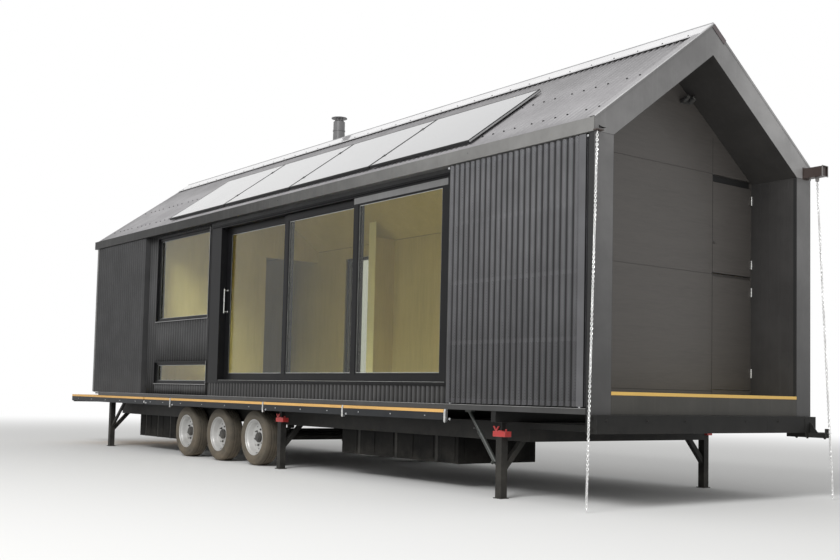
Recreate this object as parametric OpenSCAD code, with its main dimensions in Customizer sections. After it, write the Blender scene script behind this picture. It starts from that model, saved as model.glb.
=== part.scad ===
// Tiny house on a three-axle trailer, in millimetres
// The gable porch looks along +X, the glazed long side along -Y, the ground is Z = 0

/* [House body] */
// Length of the house from the porch gable to the far end wall
house_l = 10970; // [10700:10:11600]
// Width over the gable frame
house_w = 3100; // [3000:10:3300]
// Height of the eave line above the chassis
eave_h = 2475; // [2455:5:2600]
// Roof pitch in degrees
roof_pitch = 36; // [32:1:38]
// Roof slab thickness, square to the slope
roof_t = 120; // [100:5:140]
// Thickness of the framed walls
wall_t = 130; // [100:5:150]
// Depth of the recess along the glazed side
recess_d = 80; // [70:5:100]
// Bottom of the wall cladding above the chassis
wall_base = 50; // [40:5:60]
// Thickness of the floor platform
floor_t = 165; // [150:5:180]
// Thickness of the floor sheets
floor_ply_t = 28; // [18:1:36]

/* [Corrugated sheet] */
// Pitch of the corrugations
wave_pitch = 76.2; // [60:0.1:90]
// Depth of the corrugations
wave_d = 17; // [14:0.5:20]
// Thickness of the drawn sheet
sheet_t = 3; // [2:0.5:4]

/* [Porch] */
// Depth of the recessed porch
porch_d = 530; // [480:10:600]
// Width of the flat gable frame
frame_w = 230; // [200:5:260]
// Depth of the flat gable frame
frame_t = 60; // [40:5:80]
// Height that the frame stands above the roof surface
frame_rise = 14; // [8:1:20]
// Height of the overflow slot in the gable frame above the chassis
slot_z = 2400; // [2380:5:2420]
// Length of the overflow slot
slot_l = 95; // [60:5:120]
// Thickness of the porch back wall
porch_wall_t = 100; // [80:5:120]
// Width and depth of the joints between the porch boards
groove = 5; // [3:1:8]
// Width of the locker doors
locker_w = 620; // [560:10:640]
// Height of the lower locker door
lower_door_h = 1120; // [1000:10:1150]
// Height of the upper locker door
upper_door_h = 905; // [850:5:910]
// Height of the locker sill above the porch floor
locker_sill = 54; // [40:1:70]
// Height of the rail between the locker doors
locker_rail_h = 36; // [30:1:50]
// Head recess above the upper door
locker_head_gap = 76; // [60:1:90]
// Thickness of the locker doors
locker_door_t = 30; // [22:1:34]
// Depth of the locker
locker_depth = 450; // [300:10:600]
// Sheet thickness of the locker lining
lining_t = 18; // [12:1:24]
// Radius of the hinge knuckles
knuckle_r = 7; // [5:0.5:7]
// Height of a hinge
hinge_h = 90; // [70:5:110]
// Distance of a hinge from the end of its door
hinge_in = 78; // [60:2:120]
// Distance of the lowest hinge from the foot of the lower door
low_hinge_in = 126; // [90:2:150]
// Length of the locker latch
latch_l = 50; // [40:2:70]
// Height of the latch above the foot of the upper door
latch_up = 298; // [250:2:350]
// Distance of the latch in front of its door
latch_out = 10; // [6:1:12]
// Drop of the porch light below the ridge
light_drop = 576; // [540:2:620]
// Distance of the porch light from the ridge, across the house
light_in = 240; // [200:5:280]
// Radius of a lamp of the porch light
lamp_r = 25; // [20:1:30]
// Length of a lamp of the porch light
lamp_l = 60; // [50:2:70]

/* [Kitchen side] */
// Distance from the flat side panel to the kitchen windows
kitchen_in = 50; // [45:5:60]
// Width of the kitchen windows
kitchen_w = 1650; // [1500:10:1700]
// Distance from the kitchen windows to the proud end panel
kitchen_out = 315; // [300:5:400]
// Sill height of the upper kitchen window above the chassis
kitchen_sill = 1100; // [1000:10:1200]
// Height of the upper kitchen window
kitchen_h = 1215; // [1000:5:1220]
// Sill height of the low window above the chassis
low_sill = 205; // [195:5:240]
// Height of the low window
low_h = 300; // [250:5:350]
// Face width of the window frames
sash_w = 25; // [20:5:70]
// Depth of the window frames
sash_d = 60; // [50:5:80]
// Depth of the windows behind the wall face
sash_in = 25; // [20:1:30]
// Thickness of the double glazing
glass_t = 16; // [10:1:20]

/* [Back window and inner walls] */
// Distance of the back window from the near edge of the kitchen windows
back_window_in = 100; // [60:10:200]
// Width of the back window
back_window_w = 900; // [800:10:1000]
// Height of the back window
back_window_h = 1900; // [1700:10:1950]
// Sill height of the back window above the chassis
back_window_sill = 330; // [260:10:400]
// Thickness of the cross wall beyond the kitchen
cross_wall_t = 80; // [70:5:100]
// Distance of the cross wall from the proud end panel
cross_wall_in = 120; // [100:5:200]
// Width of the doorway in the cross wall
inner_door_w = 970; // [800:10:1000]
// Height of the doorway in the cross wall
inner_door_h = 2050; // [1980:10:2100]
// Length of the wall stub beside the kitchen
stub_wall_l = 350; // [300:10:400]
// Thickness of the wall stub
stub_wall_t = 170; // [120:10:200]
// Distance of the wall stub from the kitchen windows
stub_wall_in = 120; // [100:5:200]

/* [Sliding doors] */
// Distance from the porch gable to the door opening
door_x = 2030; // [2020:5:2060]
// Clear width of the door opening
door_w = 4770; // [4700:10:4800]
// Sill height of the door above the chassis
door_sill = 256; // [240:2:270]
// Clear height of the door opening
door_h = 2014; // [1950:2:2020]
// Width of the door jamb
jamb_w = 30; // [25:1:40]
// Height of the door head member
head_t = 40; // [30:1:50]
// Overlap of neighbouring leaves
leaf_lap = 105; // [90:5:120]
// Thickness of a leaf
leaf_t = 35; // [30:1:36]
// Height of the door sill member
sill_t = 38; // [30:1:60]
// Distance of the outer track behind the wall face
track_in = 8; // [6:1:12]
// Spacing of the three tracks
track_pitch = 42; // [41:1:42]
// Face width of the leaf stiles
stile_w = 88; // [70:2:95]
// Height of the leaf rails
rail_h = 70; // [60:2:80]
// Gap above and below a leaf
leaf_gap = 6; // [5:1:8]
// Width of the flat panel beside the doors
side_panel_w = 300; // [280:5:310]
// Height of the pull handle
pull_h = 320; // [250:5:400]
// Height of the middle of the pull above the chassis
pull_z = 1300; // [1100:10:1400]
// Thickness of the pull bars
pull_bar = 16; // [12:1:20]
// Stand-off of the pull from its leaf
pull_out = 60; // [50:1:64]
// Distance of the pull's arms from its ends
pull_arm_in = 20; // [16:1:30]

/* [Side screen] */
// Number of waves across the screen
screen_waves = 24; // [22:1:24]
// Distance from the porch gable to the screen
screen_x = 98; // [80:1:120]
// Gap above the screen
screen_gap = 8; // [6:1:10]
// Depth of the frame behind the sheet
screen_frame_d = 20; // [16:1:24]
// Width of the frame behind the sheet
screen_frame_w = 40; // [30:1:50]
// Radius of the rollers under the screen and leaves
roller_r = 14; // [12:1:18]
// Distance of a roller from the end of the screen
screen_roller_in = 60; // [50:5:80]
// Distance of a roller from the end of its leaf
leaf_roller_in = 150; // [120:5:200]
// Radius of the round guides at the top of the screen
guide_r = 13; // [10:1:14]

/* [Roof parts] */
// Height of the box gutters
gutter_h = 122; // [110:2:125]
// Distance that the gutter stands proud of the wall
gutter_out = 12; // [8:1:20]
// Sheet thickness of the gutters
gutter_t = 5; // [4:1:8]
// Length of the gutter stub past the far end
gutter_stub = 110; // [80:5:150]
// Length of the spout past the gable
spout_l = 215; // [150:5:260]
// Width of the spout
spout_w = 90; // [70:5:100]
// Height of the spout
spout_h = 100; // [80:5:110]
// Radius of the nozzle under the spout
nozzle_r = 20; // [15:1:25]
// Length of the nozzle under the spout
nozzle_l = 40; // [30:2:60]
// Width of each wing of the ridge cap
ridge_wing = 225; // [180:5:260]
// Thickness of the ridge cap
ridge_t = 6; // [4:1:10]
// Length of one solar panel along the roof
panel_l = 1665; // [1500:5:1750]
// Width of one solar panel up the slope
panel_w = 1150; // [1000:5:1200]
// Thickness of a solar panel
panel_t = 30; // [20:1:40]
// Width of the rim around a solar panel
panel_rim = 14; // [10:1:20]
// Gap between the solar panels
panel_gap = 20; // [10:1:40]
// Height of the mounting rails above the sheet
panel_rail_h = 15; // [10:1:50]
// Width of the mounting rails
panel_rail_w = 40; // [30:1:50]
// Distance from the porch gable to the solar array
array_x = 1725; // [1300:5:1900]
// Distance of the solar array from the eave, along the slope
array_y = 120; // [40:5:200]
// Distance from the porch gable to the flue
flue_x = 6990; // [6900:10:7100]
// Distance of the flue behind the ridge
flue_in = 450; // [400:10:500]
// Radius of the flue
flue_r = 86; // [80:1:95]
// Height of the flue top above the chassis
flue_top = 4130; // [4000:10:4200]
// Radius of the flue cap
flue_cap_r = 114; // [105:1:125]

/* [Rain chains] */
// Radius of the rods that stand for the chains
chain_r = 13; // [10:1:15]
// Distance of the near chain's foot from the glazed side
chain_lean = 80; // [60:2:90]
// Distance of the near chain in front of the gable
chain_out = 30; // [25:1:40]
// Distance of the far chain's top in front of the gable
chain_top_out = 130; // [110:5:150]
// Distance of the far chain's foot in front of the gable
chain_foot_out = 300; // [260:5:320]

/* [Trailer] */
// Height of the chassis top above the ground
chassis_h = 790; // [780:5:820]
// Depth of the cross members
cross_h = 100; // [90:5:101]
// Width of the cross members
cross_w = 60; // [50:5:80]
// Depth of the long rails below the cross members
rail_d = 175; // [150:5:180]
// Width of the long rails
rail_w = 100; // [80:5:110]
// Distance of the rails from the house sides
rail_in = 300; // [295:5:320]
// Distance from the porch gable to the deep end of the rails
rail_x = 1050; // [900:10:1100]
// Distance of the rails' other end from the far end wall
rail_end_in = 530; // [500:10:560]
// Height of the end beam under the gable
end_beam_h = 155; // [130:5:170]
// Depth of the end beam along the house
end_beam_w = 120; // [100:5:140]
// Distance that the end beam stands proud of the gable
end_beam_out = 60; // [40:5:80]
// Length of the chain arm past the end beam
arm_l = 186; // [150:2:190]
// Width of the chain arm
arm_w = 70; // [50:5:80]
// Height of the chain arm
arm_h = 45; // [30:5:60]
// Length of the platform beyond the far end wall
deck_l = 830; // [700:10:900]
// Thickness of the platform boards
deck_t = 40; // [32:1:45]
// Gap between the platform boards
deck_gap = 6; // [4:1:10]
// Reach of the drawbar beyond the platform
drawbar_l = 620; // [500:10:800]
// Width of the drawbar's nose
nose_w = 90; // [80:5:110]
// Radius of the coupling
coupling_r = 60; // [50:2:70]
// Distance from the porch gable to the long tank
tank_x = 2180; // [2100:10:2400]
// Length of the long tank
tank_l = 2090; // [1900:10:2200]
// Distance of the short tank from the far end wall
short_tank_in = 1020; // [960:10:1100]
// Length of the short tank
short_tank_l = 1300; // [1200:10:1400]
// Height of the tanks
tank_h = 475; // [400:5:500]

/* [Legs] */
// Side of the square legs
leg_s = 76; // [60:2:80]
// Distance of the leg centres from the house sides
leg_in = 110; // [90:5:130]
// Distance from the porch gable to the first legs
gable_leg_x = 1210; // [1150:10:1300]
// Distance from the porch gable to the middle legs
middle_leg_x = 5140; // [5000:10:5200]
// Distance of the last legs from the far end wall
end_leg_in = 590; // [560:10:700]
// Side of the post inside a jack
jack_post = 50; // [40:2:56]
// Distance of the jack bar below the cross members
jack_drop = 133; // [110:1:150]
// Length of the jack bar
jack_l = 166; // [150:2:200]
// Height of the jack bar
jack_bar_h = 50; // [40:2:56]
// Height of the jack's forked key
jack_key_h = 45; // [30:1:60]
// Side of the leg braces
brace_s = 50; // [40:2:60]
// Height of the foot of the cross braces
brace_z = 250; // [200:5:300]
// Height of the foot of the long braces
long_brace_z = 300; // [250:5:340]
// Reach of the long braces along the house
long_brace_l = 500; // [400:10:560]
// Radius of the strut's lower tube
strut_r = 22; // [18:1:26]
// Height of the foot of the strut
strut_z = 320; // [300:5:400]
// Reach of the strut along the house
strut_l = 420; // [400:10:520]

/* [Wheels] */
// Radius of the tyres
tyre_r = 343; // [320:1:344]
// Width of the tyres
tyre_w = 215; // [190:5:220]
// Depth of the tread grooves
tread_d = 7; // [5:1:9]
// Width of the tread grooves
tread_w = 8; // [6:1:10]
// Radius of the rims
rim_r = 222; // [200:1:235]
// Height of the wheel centres above the ground
axle_h = 345; // [345:1:350]
// Distance from the porch gable to the first axle
axle_x = 5770; // [5700:10:5850]
// Spacing of the axles
axle_pitch = 950; // [900:5:980]
// Radius of the axle tubes
axle_r = 35; // [30:1:40]
// Radius of the stub axles
stub_r = 22; // [18:1:26]
// Radius of the wheel hubs
hub_r = 62; // [55:1:75]
// Distance of the tyre face from the house side
wheel_in = 70; // [60:1:74]

/* [Skirts] */
// Thickness of the skirt boards
skirt_t = 25; // [18:1:30]
// Height of the skirt boards
skirt_h = 72; // [60:1:90]
// Height of the raw timber strips on the skirt boards
strip_h = 30; // [20:1:36]
// Drop of the strip tops below the chassis top
skirt_drop = 2; // [1:1:10]
// Half the gap between two skirt boards
skirt_gap = 20; // [16:1:30]
// Width of the skirt brackets
bracket_w = 24; // [20:1:30]
// Distances from the porch gable to the skirt brackets
bracket_xs = [1880, 3645, 5380, 7990]; // [1000:5:8400]
// Distance from the porch gable to the last skirt joint
skirt_joint_x = 8880; // [8700:5:9200]

/* [Hidden] */

// Clearances, and the steps that draw one wave
seat = 0.3;
door_gap = 4;
lap = 1;
wave_n = 8;

// Heights above the ground
zc = chassis_h;
z_cross = zc - cross_h;
z_rail = z_cross - rail_d;
z_base = zc + wall_base;
z_eave = zc + eave_h;
z_floor = zc + floor_t;
z_deck = z_floor + floor_ply_t;
rise = tan(roof_pitch);
z_ridge = z_eave + house_w / 2 * rise;
roof_v = roof_t / cos(roof_pitch);
frame_v = frame_w / cos(roof_pitch);
wave_v = wave_d / cos(roof_pitch);
z_gutter = z_eave + 4 - gutter_h;
z_jack = z_cross - jack_drop;

// Places across the house
core_y = recess_d;
clad_y = core_y + wave_d;
core_in = recess_d + wall_t;
back_in = house_w - wall_t;
back_out = house_w - wave_d;

// Places along the house, measured from the gable towards the drawbar
panel_x = door_x + door_w;
kitchen_x = panel_x + side_panel_w + kitchen_in;
bay_x = kitchen_x + kitchen_w + kitchen_out;
left_in = house_l - wall_t;
left_end = house_l + deck_l;
rail_end = house_l - rail_end_in;
end_leg_x = house_l - end_leg_in;
long_brace_x = end_leg_x - long_brace_l;

// Extents of the whole object, which centre it on its origin
tip_x = left_end + drawbar_l;
x_max = chain_foot_out + chain_r;
y_min = -chain_lean - chain_r;
y_max = house_w + skirt_t;

module place() {
    translate([(tip_x - x_max) / 2, -(y_min + y_max) / 2, 0]) children();
}

// Point at a distance from the gable towards the drawbar
function at(a, y, z) = [-a, y, z];

// Box between two corners, with x measured from the gable towards the drawbar
module block(x0, x1, y0, y1, z0, z1) {
    translate([-x1, y0, z0]) cube([x1 - x0, y1 - y0, z1 - z0]);
}

// Prism of a cross-section drawn in y and z, from x0 to x1 along the house
module prism(x0, x1, points) {
    translate([-x1, 0, 0]) rotate([90, 0, 90]) linear_extrude(x1 - x0) polygon(points);
}

// Slab of an outline drawn in x and z, from y0 to y1 across the house
module slab(y0, y1, points) {
    translate([0, y1, 0]) rotate([90, 0, 0]) linear_extrude(y1 - y0) polygon([for (p = points) [-p[0], p[1]]]);
}

// Round rod between two points
module rod(p, q, r) {
    d = q - p;
    translate(p) rotate([0, acos(d[2] / norm(d)), atan2(d[1], d[0])]) cylinder(h = norm(d), r = r, $fn = 32);
}

// Round pin across the house
module pin(x, y0, y1, z, r) {
    translate([-x, y0, z]) rotate([-90, 0, 0]) cylinder(h = y1 - y0, r = r, $fn = 32);
}

// Heights of the wall tops, of the roof's skin and of the gable frame's inner edge
function slope(y) = min(y, house_w - y) * rise;
function under(y) = z_eave - roof_v + slope(y);
function skin(y) = z_eave - wave_v + slope(y);
function inner(y) = z_eave - frame_v + slope(y);

// Copies a piece from the glazed side to the far side
module both_sides() {
    children();
    translate([0, house_w, 0]) mirror([0, 1, 0]) children();
}

// Face of a corrugated sheet from its first valley, its crests towards -Y
function waves(x0, y, count) = [for (i = [0:count * wave_n])
    [-x0 - i * wave_pitch / wave_n, y + wave_d / 2 * (1 + cos(360 * i / wave_n))]];

// Corrugated wall core from x0 to x1, with a flat strip at each end
module corrugated(x0, x1, y, back, z0, z1) {
    count = floor((x1 - x0) / wave_pitch);
    margin = (x1 - x0 - count * wave_pitch) / 2;
    translate([0, 0, z0]) linear_extrude(z1 - z0) polygon(concat([[-x0, back], [-x0, y + wave_d]],
        waves(x0 + margin, y, count), [[-x1, y + wave_d], [-x1, back]]));
}

// Chassis
leg_xs = [gable_leg_x, middle_leg_x, end_leg_x];
cross_xs = [gable_leg_x, gable_leg_x + 1250, gable_leg_x + 2430, middle_leg_x, axle_x + axle_pitch / 2,
    axle_x + 1.5 * axle_pitch, axle_x + 2 * axle_pitch + 600, house_l - 1610, long_brace_x, end_leg_x];

module side_rails() {
    heel = end_beam_w - end_beam_out;
    color("#2b2b2d") both_sides() slab(rail_in, rail_in + rail_w, [[rail_end, z_rail], [rail_x, z_rail],
        [rail_x, zc - end_beam_h], [heel, zc - end_beam_h], [heel, z_cross], [rail_end, z_cross]]);
}

module cross_members() {
    color("#2b2b2d") {
        for (x = cross_xs)
            block(x - cross_w / 2, x + cross_w / 2, 0, house_w, z_cross, zc);
        for (x = [rail_x, rail_end - rail_w])
            block(x, x + cross_w, rail_in + rail_w, house_w - rail_in - rail_w, z_rail, z_cross);
    }
}

module end_beam() {
    z0 = zc - end_beam_h;
    y1 = house_w - cross_w;
    color("#29292b") {
        block(-end_beam_out, end_beam_w - end_beam_out, 0, house_w, z0, zc);
        block(-end_beam_out - arm_l, end_beam_w + end_beam_out, y1 - arm_w, y1, z0 - arm_h, z0);
        block(-end_beam_out - arm_l, -end_beam_out - arm_l + gutter_t, y1 - arm_w, y1, z0, z0 + arm_h);
    }
}

module drawbar() {
    z0 = z_cross - rail_w / 5;
    z1 = zc - deck_t - skirt_drop;
    nose = tip_x - drawbar_l / 2;
    color("#2a2a2c") {
        both_sides() hull() {
            block(rail_end, rail_end + rail_w / 5, rail_in, rail_in + rail_w, z0, z1);
            block(nose - rail_w / 5, nose, house_w / 2 - nose_w, house_w / 2, z0, z1);
        }
        block(left_end - cross_w, left_end, 0, house_w, z0, z1);
        block(nose - cross_w, tip_x - coupling_r, (house_w - nose_w) / 2, (house_w + nose_w) / 2, z0, z1);
        translate([-tip_x + coupling_r, house_w / 2, z0])
            cylinder(h = (z1 - z0) * 1.3, r = coupling_r, $fn = 48);
    }
}

module front_deck() {
    boards = 10;
    board = (house_w - (boards - 1) * deck_gap) / boards;
    color("#c99a5b") for (i = [0:boards - 1])
        block(house_l + seat, left_end, i * (board + deck_gap), i * (board + deck_gap) + board,
            zc - deck_t - skirt_drop, zc - skirt_drop);
}

// Floor layer, notched round the porch lining
module floor_layer(z0, z1) {
    difference() {
        block(0, left_in, core_in, back_in, z0, z1);
        block(-lap, porch_d, core_in - lap, frame_w, z0 - lap, z1 + lap);
        block(-lap, porch_d, house_w - frame_w, back_in + lap, z0 - lap, z1 + lap);
    }
}

module floor_platform() {
    color("#353538") floor_layer(zc, z_floor);
}

module floor_ply() {
    color("#d9a253") floor_layer(z_floor, z_deck);
}

// Walls
module left_front_panel() {
    color("#3b3c3f") corrugated(bay_x, house_l, 0, clad_y, z_base, z_gutter - door_gap);
}

module kitchen_wall() {
    color("#3a3b3e") difference() {
        prism(panel_x + side_panel_w, left_in, [[clad_y, z_base], [core_in, z_base], [core_in, under(core_in)],
            [clad_y, under(clad_y)]]);
        for (w = [[kitchen_sill, kitchen_h], [low_sill, low_h]])
            block(kitchen_x, kitchen_x + kitchen_w, clad_y - lap, core_in + lap, zc + w[0], zc + w[0] + w[1]);
    }
}

module base_strip() {
    color("#38393c") corrugated(door_x - jamb_w, panel_x + side_panel_w, core_y, core_in, z_base,
        zc + door_sill - sill_t);
}

module head_beam() {
    z0 = zc + door_sill + door_h + head_t;
    color("#38393c") prism(door_x - jamb_w, panel_x + side_panel_w, [[core_y, z0], [core_in, z0],
        [core_in, under(core_in)], [core_y, under(core_y)]]);
}

module right_front_wall() {
    color("#343538") prism(frame_t, door_x - jamb_w, [[clad_y, z_base], [core_in, z_base],
        [core_in, under(core_in)], [clad_y, under(clad_y)]]);
}

back_window_x = kitchen_x + back_window_in;
back_window_z = zc + back_window_sill;

module back_wall() {
    color("#3a3b3e") difference() {
        prism(frame_t, left_in, [[back_in, z_base], [back_out, z_base], [back_out, z_gutter],
            [house_w - core_y, z_gutter], [house_w - core_y, under(core_y)], [back_in, under(back_in)]]);
        block(back_window_x, back_window_x + back_window_w, back_in - lap, house_w, back_window_z,
            back_window_z + back_window_h);
    }
}

module left_gable_wall() {
    color("#3a3b3e") prism(left_in, house_l - wave_d, [[clad_y, zc], [back_out, zc], [back_out, z_gutter],
        [house_w - core_y, z_gutter], [house_w - core_y, under(core_y)], [house_w / 2, under(house_w / 2)],
        [clad_y, under(clad_y)]]);
}

module partitions() {
    x0 = bay_x - cross_wall_in;
    y0 = back_in - inner_door_w;
    z1 = z_deck + inner_door_h;
    x1 = kitchen_x - stub_wall_in;
    color("#cdb27c") {
        prism(x0, x0 + cross_wall_t, [[core_in, z_deck], [y0, z_deck], [y0, z1], [back_in, z1],
            [back_in, under(back_in)], [house_w / 2, under(house_w / 2)], [core_in, under(core_in)]]);
        block(x1 - stub_wall_t, x1, back_in - stub_wall_l, back_in, z_deck, under(back_in));
    }
}

// Porch
locker_y1 = house_w - frame_w;
locker_y0 = locker_y1 - locker_w - 2 * door_gap;
z_lower = z_deck + locker_sill;
z_upper = z_lower + lower_door_h + locker_rail_h;
z_locker = z_upper + upper_door_h + locker_head_gap;
z_shelf = z_upper - door_gap;
door_face = porch_d + 2;
porch_in = porch_d + porch_wall_t;

// Joint between two boards of the porch wall
module board_joint(z) {
    block(porch_d - lap, porch_d + groove, core_in - lap, back_in + lap, z - groove / 2, z + groove / 2);
}

module porch_wall() {
    color("#4c4a47") difference() {
        prism(porch_d, porch_in, [[core_in, z_deck], [locker_y0, z_deck], [locker_y0, under(locker_y0)],
            [house_w / 2, under(house_w / 2)], [core_in, under(core_in)]]);
        board_joint(z_upper - locker_rail_h / 2);
        board_joint(z_locker);
    }
}

module porch_wall_head() {
    inside = door_face + locker_door_t;
    color("#4c4a47") {
        prism(porch_d, porch_in, [[locker_y0, z_locker], [back_in, z_locker], [back_in, under(back_in)],
            [locker_y0, under(locker_y0)]]);
        block(porch_d, porch_in, locker_y0, back_in, z_deck, z_lower - door_gap);
        block(porch_d, porch_in, locker_y1, back_in, z_deck, z_locker);
        block(inside, porch_in, locker_y0, back_in, z_shelf - locker_rail_h, z_shelf);
        block(inside, porch_in, locker_y0, back_in, z_upper + upper_door_h + door_gap, z_locker);
    }
}

module porch_lining() {
    color("#3f3e3f") difference() {
        prism(frame_t, porch_d, [[core_in, zc], [back_in, zc], [back_in, under(back_in)],
            [house_w / 2, under(house_w / 2)], [core_in, under(core_in)]]);
        prism(frame_t - lap, porch_d + lap, [[frame_w, zc - lap], [house_w - frame_w, zc - lap],
            [house_w - frame_w, inner(frame_w)], [house_w / 2, inner(house_w / 2)], [frame_w, inner(frame_w)]]);
    }
}

module gable_frame() {
    top = z_eave + frame_rise;
    z0 = zc + slot_z;
    color("#6d6c6b") difference() {
        prism(0, frame_t, [[0, zc], [house_w, zc], [house_w, top], [house_w / 2, z_ridge + frame_rise],
            [0, top]]);
        prism(-lap, frame_t + lap, [[frame_w, zc - lap], [house_w - frame_w, zc - lap],
            [house_w - frame_w, inner(frame_w)], [house_w / 2, inner(house_w / 2)], [frame_w, inner(frame_w)]]);
        prism(-lap, frame_t / 2, [[slot_l / 2, z0 - slot_l / 7], [slot_l, z0 - slot_l / 9],
            [slot_l * 1.5, z0 + slot_l / 20], [slot_l, z0 + slot_l / 18], [slot_l / 2, z0 + slot_l / 7]]);
    }
}

// Roof
module roof_slopes() {
    mid = house_w / 2;
    color("#8b8a8c") both_sides() prism(frame_t, house_l, [[core_y, under(core_y) + seat],
        [core_y, skin(core_y)], [mid, skin(mid)], [mid, under(mid) + seat]]);
}

module ridge_cap() {
    run = ridge_wing * cos(roof_pitch);
    y0 = house_w / 2 - run;
    y1 = y0 + ridge_t;
    z0 = z_ridge + frame_rise;
    lift = ridge_t / cos(roof_pitch);
    edge = z0 - run * rise;
    color("#b9b7b6") {
        prism(-ridge_t, house_l, [[y0, edge], [house_w / 2, z0], [house_w - y0, edge],
            [house_w - y0, edge + lift], [house_w / 2, z0 + lift], [y0, edge + lift]]);
        both_sides() prism(frame_t + seat, house_l, [[y0, skin(y0) + seat], [y1, skin(y1) + seat],
            [y1, edge + ridge_t * rise + lap], [y0, edge + lap]]);
    }
}

// Box gutter from x0 to x1 along the house, open at its top
module gutter(x0, x1) {
    difference() {
        block(x0, x1, -gutter_out, core_y, z_gutter, z_gutter + gutter_h);
        block(x0 + gutter_t, x1 - gutter_t, gutter_t - gutter_out, core_y - gutter_t, z_gutter + gutter_t,
            z_gutter + gutter_h + lap);
    }
}

spout_y = house_w - core_y;
z_spout = z_gutter + gutter_t;

module spout() {
    block(-spout_l, 0, spout_y - spout_w / 2, spout_y + spout_w / 2, z_spout, z_spout + spout_h);
    block(-spout_l - gutter_t, -spout_l + gutter_t, spout_y - spout_w / 2 - gutter_t,
        spout_y + spout_w / 2 + gutter_t, z_spout - gutter_t, z_spout + spout_h + gutter_t);
    translate([chain_top_out, spout_y, z_spout - nozzle_l]) cylinder(h = nozzle_l, r = nozzle_r, $fn = 32);
    block(-chain_out - nozzle_r, 0, -nozzle_r, core_y - nozzle_r, z_gutter, z_gutter + gutter_out);
}

module gutters() {
    color("#6a696a") {
        gutter(frame_t, house_l + gutter_stub);
        translate([0, house_w, 0]) mirror([0, 1, 0]) gutter(frame_t, house_l);
        spout();
    }
}

module rain_chains() {
    near_top = at(-chain_out, 0, z_gutter - seat);
    near_foot = at(-chain_out, -chain_lean, 0);
    far_top = at(-chain_top_out, spout_y, z_spout - nozzle_l - 3 * seat);
    far_foot = at(-chain_foot_out, spout_y, 0);
    color("#b8babb") for (c = [[near_foot, near_top], [far_foot, far_top]]) {
        translate(c[0]) cylinder(h = chain_r * 1.5, r = chain_r, $fn = 32);
        rod(c[0] + [0, 0, chain_r], c[1], chain_r - 2);
    }
}

flue_y = house_w / 2 + flue_in;

module flue() {
    top = zc + flue_top;
    neck = flue_r * 0.9;
    boot = 2 * flue_r;
    z0 = skin(flue_y) + flue_r * rise;
    color("#3a3a3c") translate([-flue_x, flue_y, 0]) {
        difference() {
            union() {
                translate([0, 0, z0 - boot]) cylinder(h = top - neck - z0, r = flue_r, $fn = 64);
                translate([0, 0, z0 - boot]) cylinder(h = boot + lap, r1 = boot, r2 = flue_r, $fn = 64);
            }
            translate([0, 0, skin(flue_y) + seat]) rotate([-roof_pitch, 0, 0])
                translate([-4 * flue_r, -4 * flue_r, -8 * flue_r]) cube([8 * flue_r, 8 * flue_r, 8 * flue_r]);
        }
        translate([0, 0, top - 2.5 * flue_r]) cylinder(h = flue_r / 6, r = flue_r + 4, $fn = 64);
        translate([0, 0, top - neck - boot]) cylinder(h = boot, r = flue_r - 2, $fn = 64);
        translate([0, 0, top - neck - lap])
            cylinder(h = neck / 3, r1 = flue_r - 4, r2 = flue_r * 0.7, $fn = 64);
        for (t = [45:90:315])
            rotate(t) translate([flue_r * 0.55, 0, top - neck]) cylinder(h = neck * 0.8, r = 5, $fn = 16);
        translate([0, 0, top - neck / 3]) cylinder(h = neck / 9, r = flue_cap_r, $fn = 64);
        translate([0, 0, top - neck * 2 / 9 - lap]) cylinder(h = neck * 2 / 9 + lap, r1 = flue_cap_r - 2,
            r2 = flue_r / 2, $fn = 64);
    }
}

module solar_array() {
    panels = 4;
    pitch = panel_l + panel_gap;
    all_l = panels * pitch - panel_gap;
    color("#1d2430") translate([0, 0, z_eave]) rotate([roof_pitch, 0, 0]) {
        for (i = [0:panels - 1])
            translate([-array_x - i * pitch - panel_l, array_y, panel_rail_h]) difference() {
                cube([panel_l, panel_w, panel_t]);
                translate([panel_rim, panel_rim, panel_t - lap])
                    cube([panel_l - 2 * panel_rim, panel_w - 2 * panel_rim, 2 * lap]);
            }
        for (s = [0.22, 0.78])
            translate([-array_x - all_l + 60, array_y + s * panel_w - panel_rail_w / 2, seat - wave_d])
                cube([all_l - 120, panel_rail_w, panel_rail_h + wave_d - seat]);
    }
}

// Windows and doors
module sash(x0, w, y0, z0, h) {
    difference() {
        block(x0, x0 + w, y0, y0 + sash_d, z0, z0 + h);
        block(x0 + sash_w, x0 + w - sash_w, y0 - lap, y0 + sash_d + lap, z0 + sash_w, z0 + h - sash_w);
    }
}

module pane(x0, w, y0, z0, h) {
    block(x0 + sash_w, x0 + w - sash_w, y0 + (sash_d - glass_t) / 2, y0 + (sash_d + glass_t) / 2, z0 + sash_w,
        z0 + h - sash_w);
}

sash_y = core_y + sash_in;
back_sash_y = back_in + sash_in;
leaf_w = (door_w + 2 * leaf_lap) / 3;
leaf_z0 = zc + door_sill + leaf_gap;
leaf_z1 = zc + door_sill + door_h - leaf_gap;
track_y = core_y + track_in;
fixed_x = door_x;
middle_x = door_x + (door_w - leaf_w) / 2;
leading_x = door_x + door_w - leaf_w - leaf_gap;

module leaf(x0, y0, z0, z1) {
    difference() {
        block(x0, x0 + leaf_w, y0, y0 + leaf_t, z0, z1);
        block(x0 + stile_w, x0 + leaf_w - stile_w, y0 - lap, y0 + leaf_t + lap, leaf_z0 + rail_h,
            leaf_z1 - rail_h);
    }
}

module leaf_pane(x0, y0) {
    block(x0 + stile_w, x0 + leaf_w - stile_w, y0 + (leaf_t - glass_t) / 2, y0 + (leaf_t + glass_t) / 2,
        leaf_z0 + rail_h, leaf_z1 - rail_h);
}

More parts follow.
